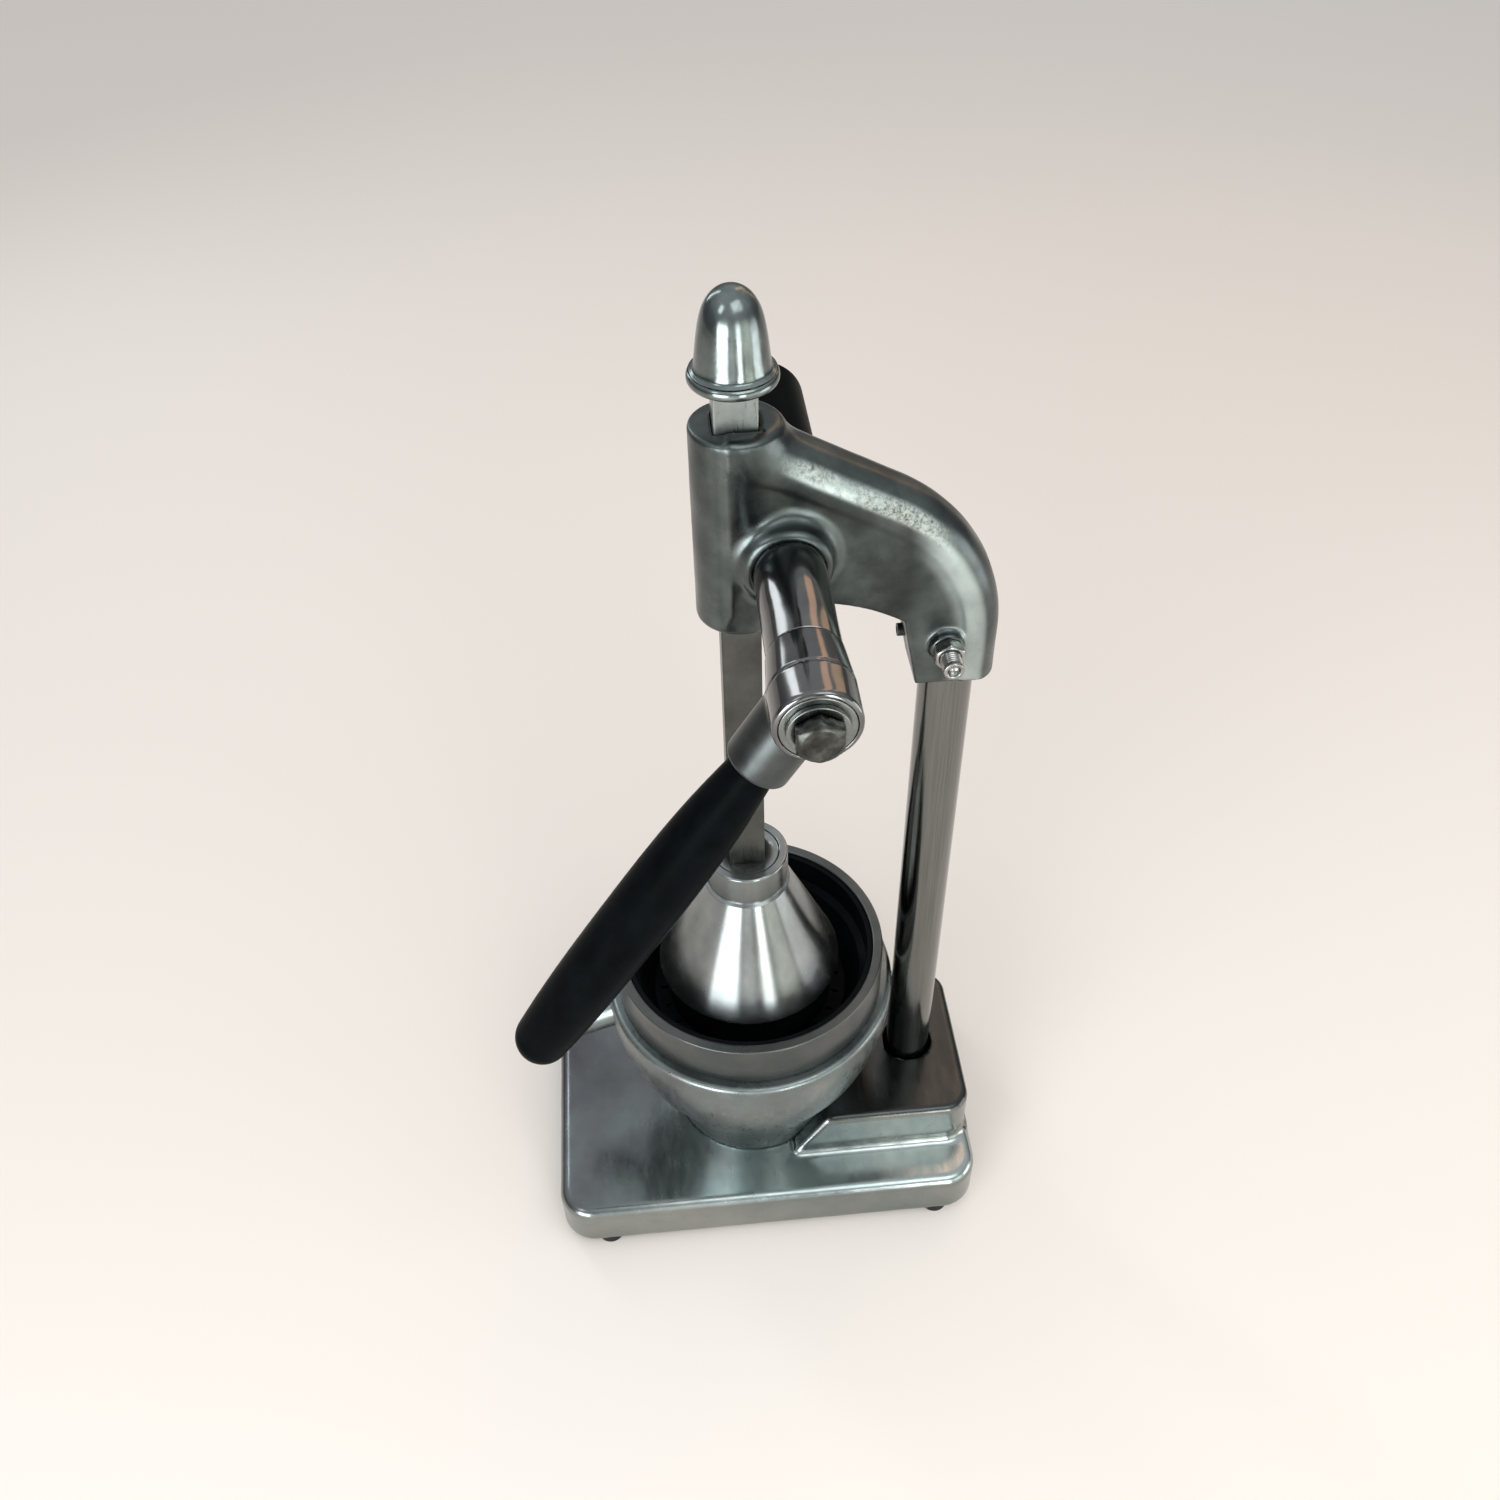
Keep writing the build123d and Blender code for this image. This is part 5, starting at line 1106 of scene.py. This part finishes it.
def threaded_grid(start, end, radius, pitch, depth, centre):
    """A thread along X: the radius falls by depth times a triangle wave of along / pitch - angle."""
    angle = np.arange(THREAD_STEPS) * math.tau / THREAD_STEPS
    along = np.linspace(start, end, int((end - start) / pitch * ROWS_A_TURN) + 1)
    phase = (along[:, None] / pitch - angle / math.tau) % 1
    taper = np.minimum(1, (end - along) / pitch)[:, None]
    crest = radius - depth * np.abs(2 * phase - 1) * taper - depth * (1 - taper)
    return np.stack([along[:, None] + 0 * crest, centre[0] + crest * np.cos(angle),
                     centre[1] + crest * np.sin(angle)], axis=-1)


def capped(grid, *more_rows):
    """The grid with its first row drawn in to the axis and more (along, radius share) rows after it."""
    middle = grid.mean(axis=1, keepdims=True)
    first = middle[:1] + 0 * grid[:1]
    rows = [first, grid]
    for along, share in more_rows:
        row = middle[-1:] + (grid[-1:] - middle[-1:]) * share
        row[..., 0] = along
        rows.append(row)
    return np.concatenate(rows)


# %% Lock screw
THREAD_PITCH = 1.25
THREAD_DEPTH = 0.5
THREAD_R = LOCK_R + 0.35
LOCK_TIP = [(1.5, 1.06), (0.4, 1.06), (0.1, 1.0), (0, 0.92), (0, 0.72), (0.3, 0.66), (3, 0.62), (3, 0.0)]
lock = (lock_y, LOCK_Z)
lock_start, lock_end = low("head_lock_screw")[0], high("head_lock_screw")[0]
lock_rows = threaded_grid(lock_start, lock_end - 1.6, THREAD_R, THREAD_PITCH, THREAD_DEPTH, lock)
lock_grid = capped(lock_rows, *[(lock_end - deep, part) for deep, part in LOCK_TIP])
lock_thread = piece("lock_thread", lock_grid, zinc)
stands_for(lock_thread, "stand", "zinc_steel", "head_lock_screw")

# %% Lock nut
NUT_ACROSS = 13.0
NUT_FACE = NUT_ACROSS * 0.46
NUT_BORE = LOCK_R - 0.3
NUT_BEVEL = [(0, NUT_FACE), (0.35, NUT_FACE + 0.6), (0.8, 7.2), (1.2, 9.0)]
nut_low, nut_high = low("head_lock_nut")[0], high("head_lock_nut")[0]
nut_levels = [
    (nut_low, NUT_BORE), *[(nut_low + deep, limit) for deep, limit in NUT_BEVEL],
    *[(nut_high - deep, limit) for deep, limit in reversed(NUT_BEVEL)], (nut_high, LOCK_R + 0.5),
    (nut_high - 0.7, NUT_BORE), (nut_low, NUT_BORE)]
lock_hexagon = piece("lock_hexagon", hex_grid(NUT_ACROSS, nut_levels, lock), zinc)
stands_for(lock_hexagon, "stand", "zinc_steel", "head_lock_nut")

# %% End bolt
shaft = (shaft_y, shaft_z)
BOLT_ACROSS = 18.0
BOLT_HEAD = 7.0
BOLT_FACE = 7.6
BOLT_SEAT = [(0, 0.0), (0, 8.2), (0.5, 8.8), (1.0, 11.0)]
BOLT_BEVEL = [(2.0, 11.0), (1.5, 9.75), (1.0, 9.05), (0.5, 8.3), (0.12, BOLT_FACE), (0, BOLT_FACE - 0.35),
              (0.02, BOLT_FACE - 0.8), (0.05, 0.0)]
bolt_top = high("hub_bolt")[0]
seat = bolt_top - BOLT_HEAD
bolt_levels = [(seat + above, limit) for above, limit in BOLT_SEAT]
bolt_levels += [(bolt_top - deep, limit) for deep, limit in BOLT_BEVEL]
bolt_head = piece("bolt_head", hex_grid(BOLT_ACROSS, bolt_levels, shaft, 144), bolt_steel)
stands_for(bolt_head, "lever", "chrome", "hub_bolt")

# %% [markdown]
# ## The lever's hub and its washers
# The hub is turned, with a groove round it, a round rim and a recess for the washers, and a socket for
# the lever leaves it at a slant. A turned grid alone has no place for that socket, so the field method
# joins the two with a small fillet, and keeps the bores.

# %% Lever hub
HUB_R = 17.4
HUB_NECK_R = 15.8
HUB_GROOVE_X = 100.0
GROOVE = 0.6
HUB_RIM = 1.9
RECESS_R = 15.0
RECESS_DEPTH = 2
SOCKET_R = 14.0
SOCKET_LENGTH = 41.0
SOCKET_EDGE = 1.5
SOCKET_FILLET = 1.4
SOCKET_SUNK = 3
HUB_VOXEL = 0.7
HUB_DEEP = -0.8
PAST_AXIS = -5.0
hub_start, hub_end = low("lever_hub")[0], high("lever_hub")[0]
recess_floor = hub_end - RECESS_DEPTH
hub_line = rounded([
    (PAST_AXIS, hub_start, 0), (HUB_NECK_R, hub_start, 0.4), (HUB_R, HUB_GROOVE_X - GROOVE, 0.3),
    (HUB_R - GROOVE, HUB_GROOVE_X, 0.2), (HUB_R, HUB_GROOVE_X + GROOVE, 0.3), (HUB_R, hub_end, HUB_RIM),
    (RECESS_R, hub_end, 0.35), (RECESS_R, recess_floor, 0.2), (PAST_AXIS, recess_floor, 0)])


def axis_of(name):
    """The unit vector along a long straight node, from its points' longest spread, turned to the front."""
    mesh = nodes[name].data
    spots = np.empty(len(mesh.vertices) * 3)
    mesh.vertices.foreach_get("co", spots)
    spots = np.unique(spots.reshape(-1, 3).round(6), axis=0)
    way = np.linalg.svd(spots - spots.mean(axis=0), full_matrices=False)[2][0]
    return -np.sign(way[1]) * way


hub_middle = np.array([(hub_start + hub_end) / 2, shaft_y, shaft_z])
handle_way = axis_of("lever_rod")
print("the lever points along", handle_way.round(4))


def hub_field(points):
    """The hub's turned body, by its outline in radius and X, joined to the slanted socket."""
    reach = np.hypot(points[:, 1] - shaft_y, points[:, 2] - shaft_z)
    body = polygon_field(reach, points[:, 0], hub_line)
    out = (points - hub_middle) @ handle_way
    ring = np.linalg.norm(points - hub_middle - out[:, None] * handle_way, axis=1) - SOCKET_R
    ends = np.abs(out - SOCKET_LENGTH / 2) - SOCKET_LENGTH / 2
    socket = rounded_corner(ring + SOCKET_EDGE, ends + SOCKET_EDGE, SOCKET_EDGE)
    return blended(body, np.maximum(socket, HUB_R - SOCKET_SUNK - reach), SOCKET_FILLET)


def in_hub(points):
    """Points that lie deep in the outer form, so on the hub's bores."""
    return hub_field(points) < HUB_DEEP


hub_shell, _ = cast_skin("hub_shell", "lever_hub", HUB_VOXEL, hub_field, hub_finish, in_hub)
stands_for(hub_shell, "lever", "chrome", "lever_hub")

# %% Washers
WASHER_BORE_R = 4.0


def washer(name, node, slot, wider, low_edge, high_edge):
    """A closed ring round the shaft's axis, as thick as a CAD node and wider than it by a little."""
    start, end = low(node)[0], high(node)[0]
    outer = (high(node)[2] - low(node)[2]) / 2 + wider
    line = rounded([(WASHER_BORE_R, start, 0), (outer, start, low_edge), (outer, end, high_edge),
                    (WASHER_BORE_R, end, 0)], closed=True)
    stands_for(piece(name, turned(line, "X", shaft), satin), "lever", slot, node)


washer("flat_washer", "hub_washer", "chrome", 0.3, 0.2, 0.6)
washer("spring_ring", "hub_spring_washer", "zinc_steel", 0, 0.4, 0.4)

# %% [markdown]
# ## Finishes on the CAD nodes
# The nodes whose shape is already right keep it and only take a finish: plain turned or drawn forms, the
# black moulded ones, and what is hidden inside.

# %% Assign
FINISH_OF = {
    dull_pot: ["juice_spout"],
    drawn_steel: ["column"],
    chrome: ["shaft_sleeve"],
    zinc: ["foot_screws", "column_washer", "column_bolt", "pot_screws", "cone_screw", "cover_screw",
           "pinion", "pinion_key", "pinion_shaft", "hub_key", "lever_rod"],
    dark_steel: ["head_front_screw"],
    bronze: ["shaft_bush_far", "shaft_bush_inner", "shaft_bush_outer"],
    black_grip: ["lever_grip", "shaft_cover"],
    black_bowl: ["strainer_bowl", "reamer"],
    rubber: ["rubber_feet"],
}
for finish, names in FINISH_OF.items():
    for name in names:
        data = nodes[name].data
        data.materials.clear()
        data.materials.append(finish.material)
print("finished nodes:", sum(len(n) for n in FINISH_OF.values()))
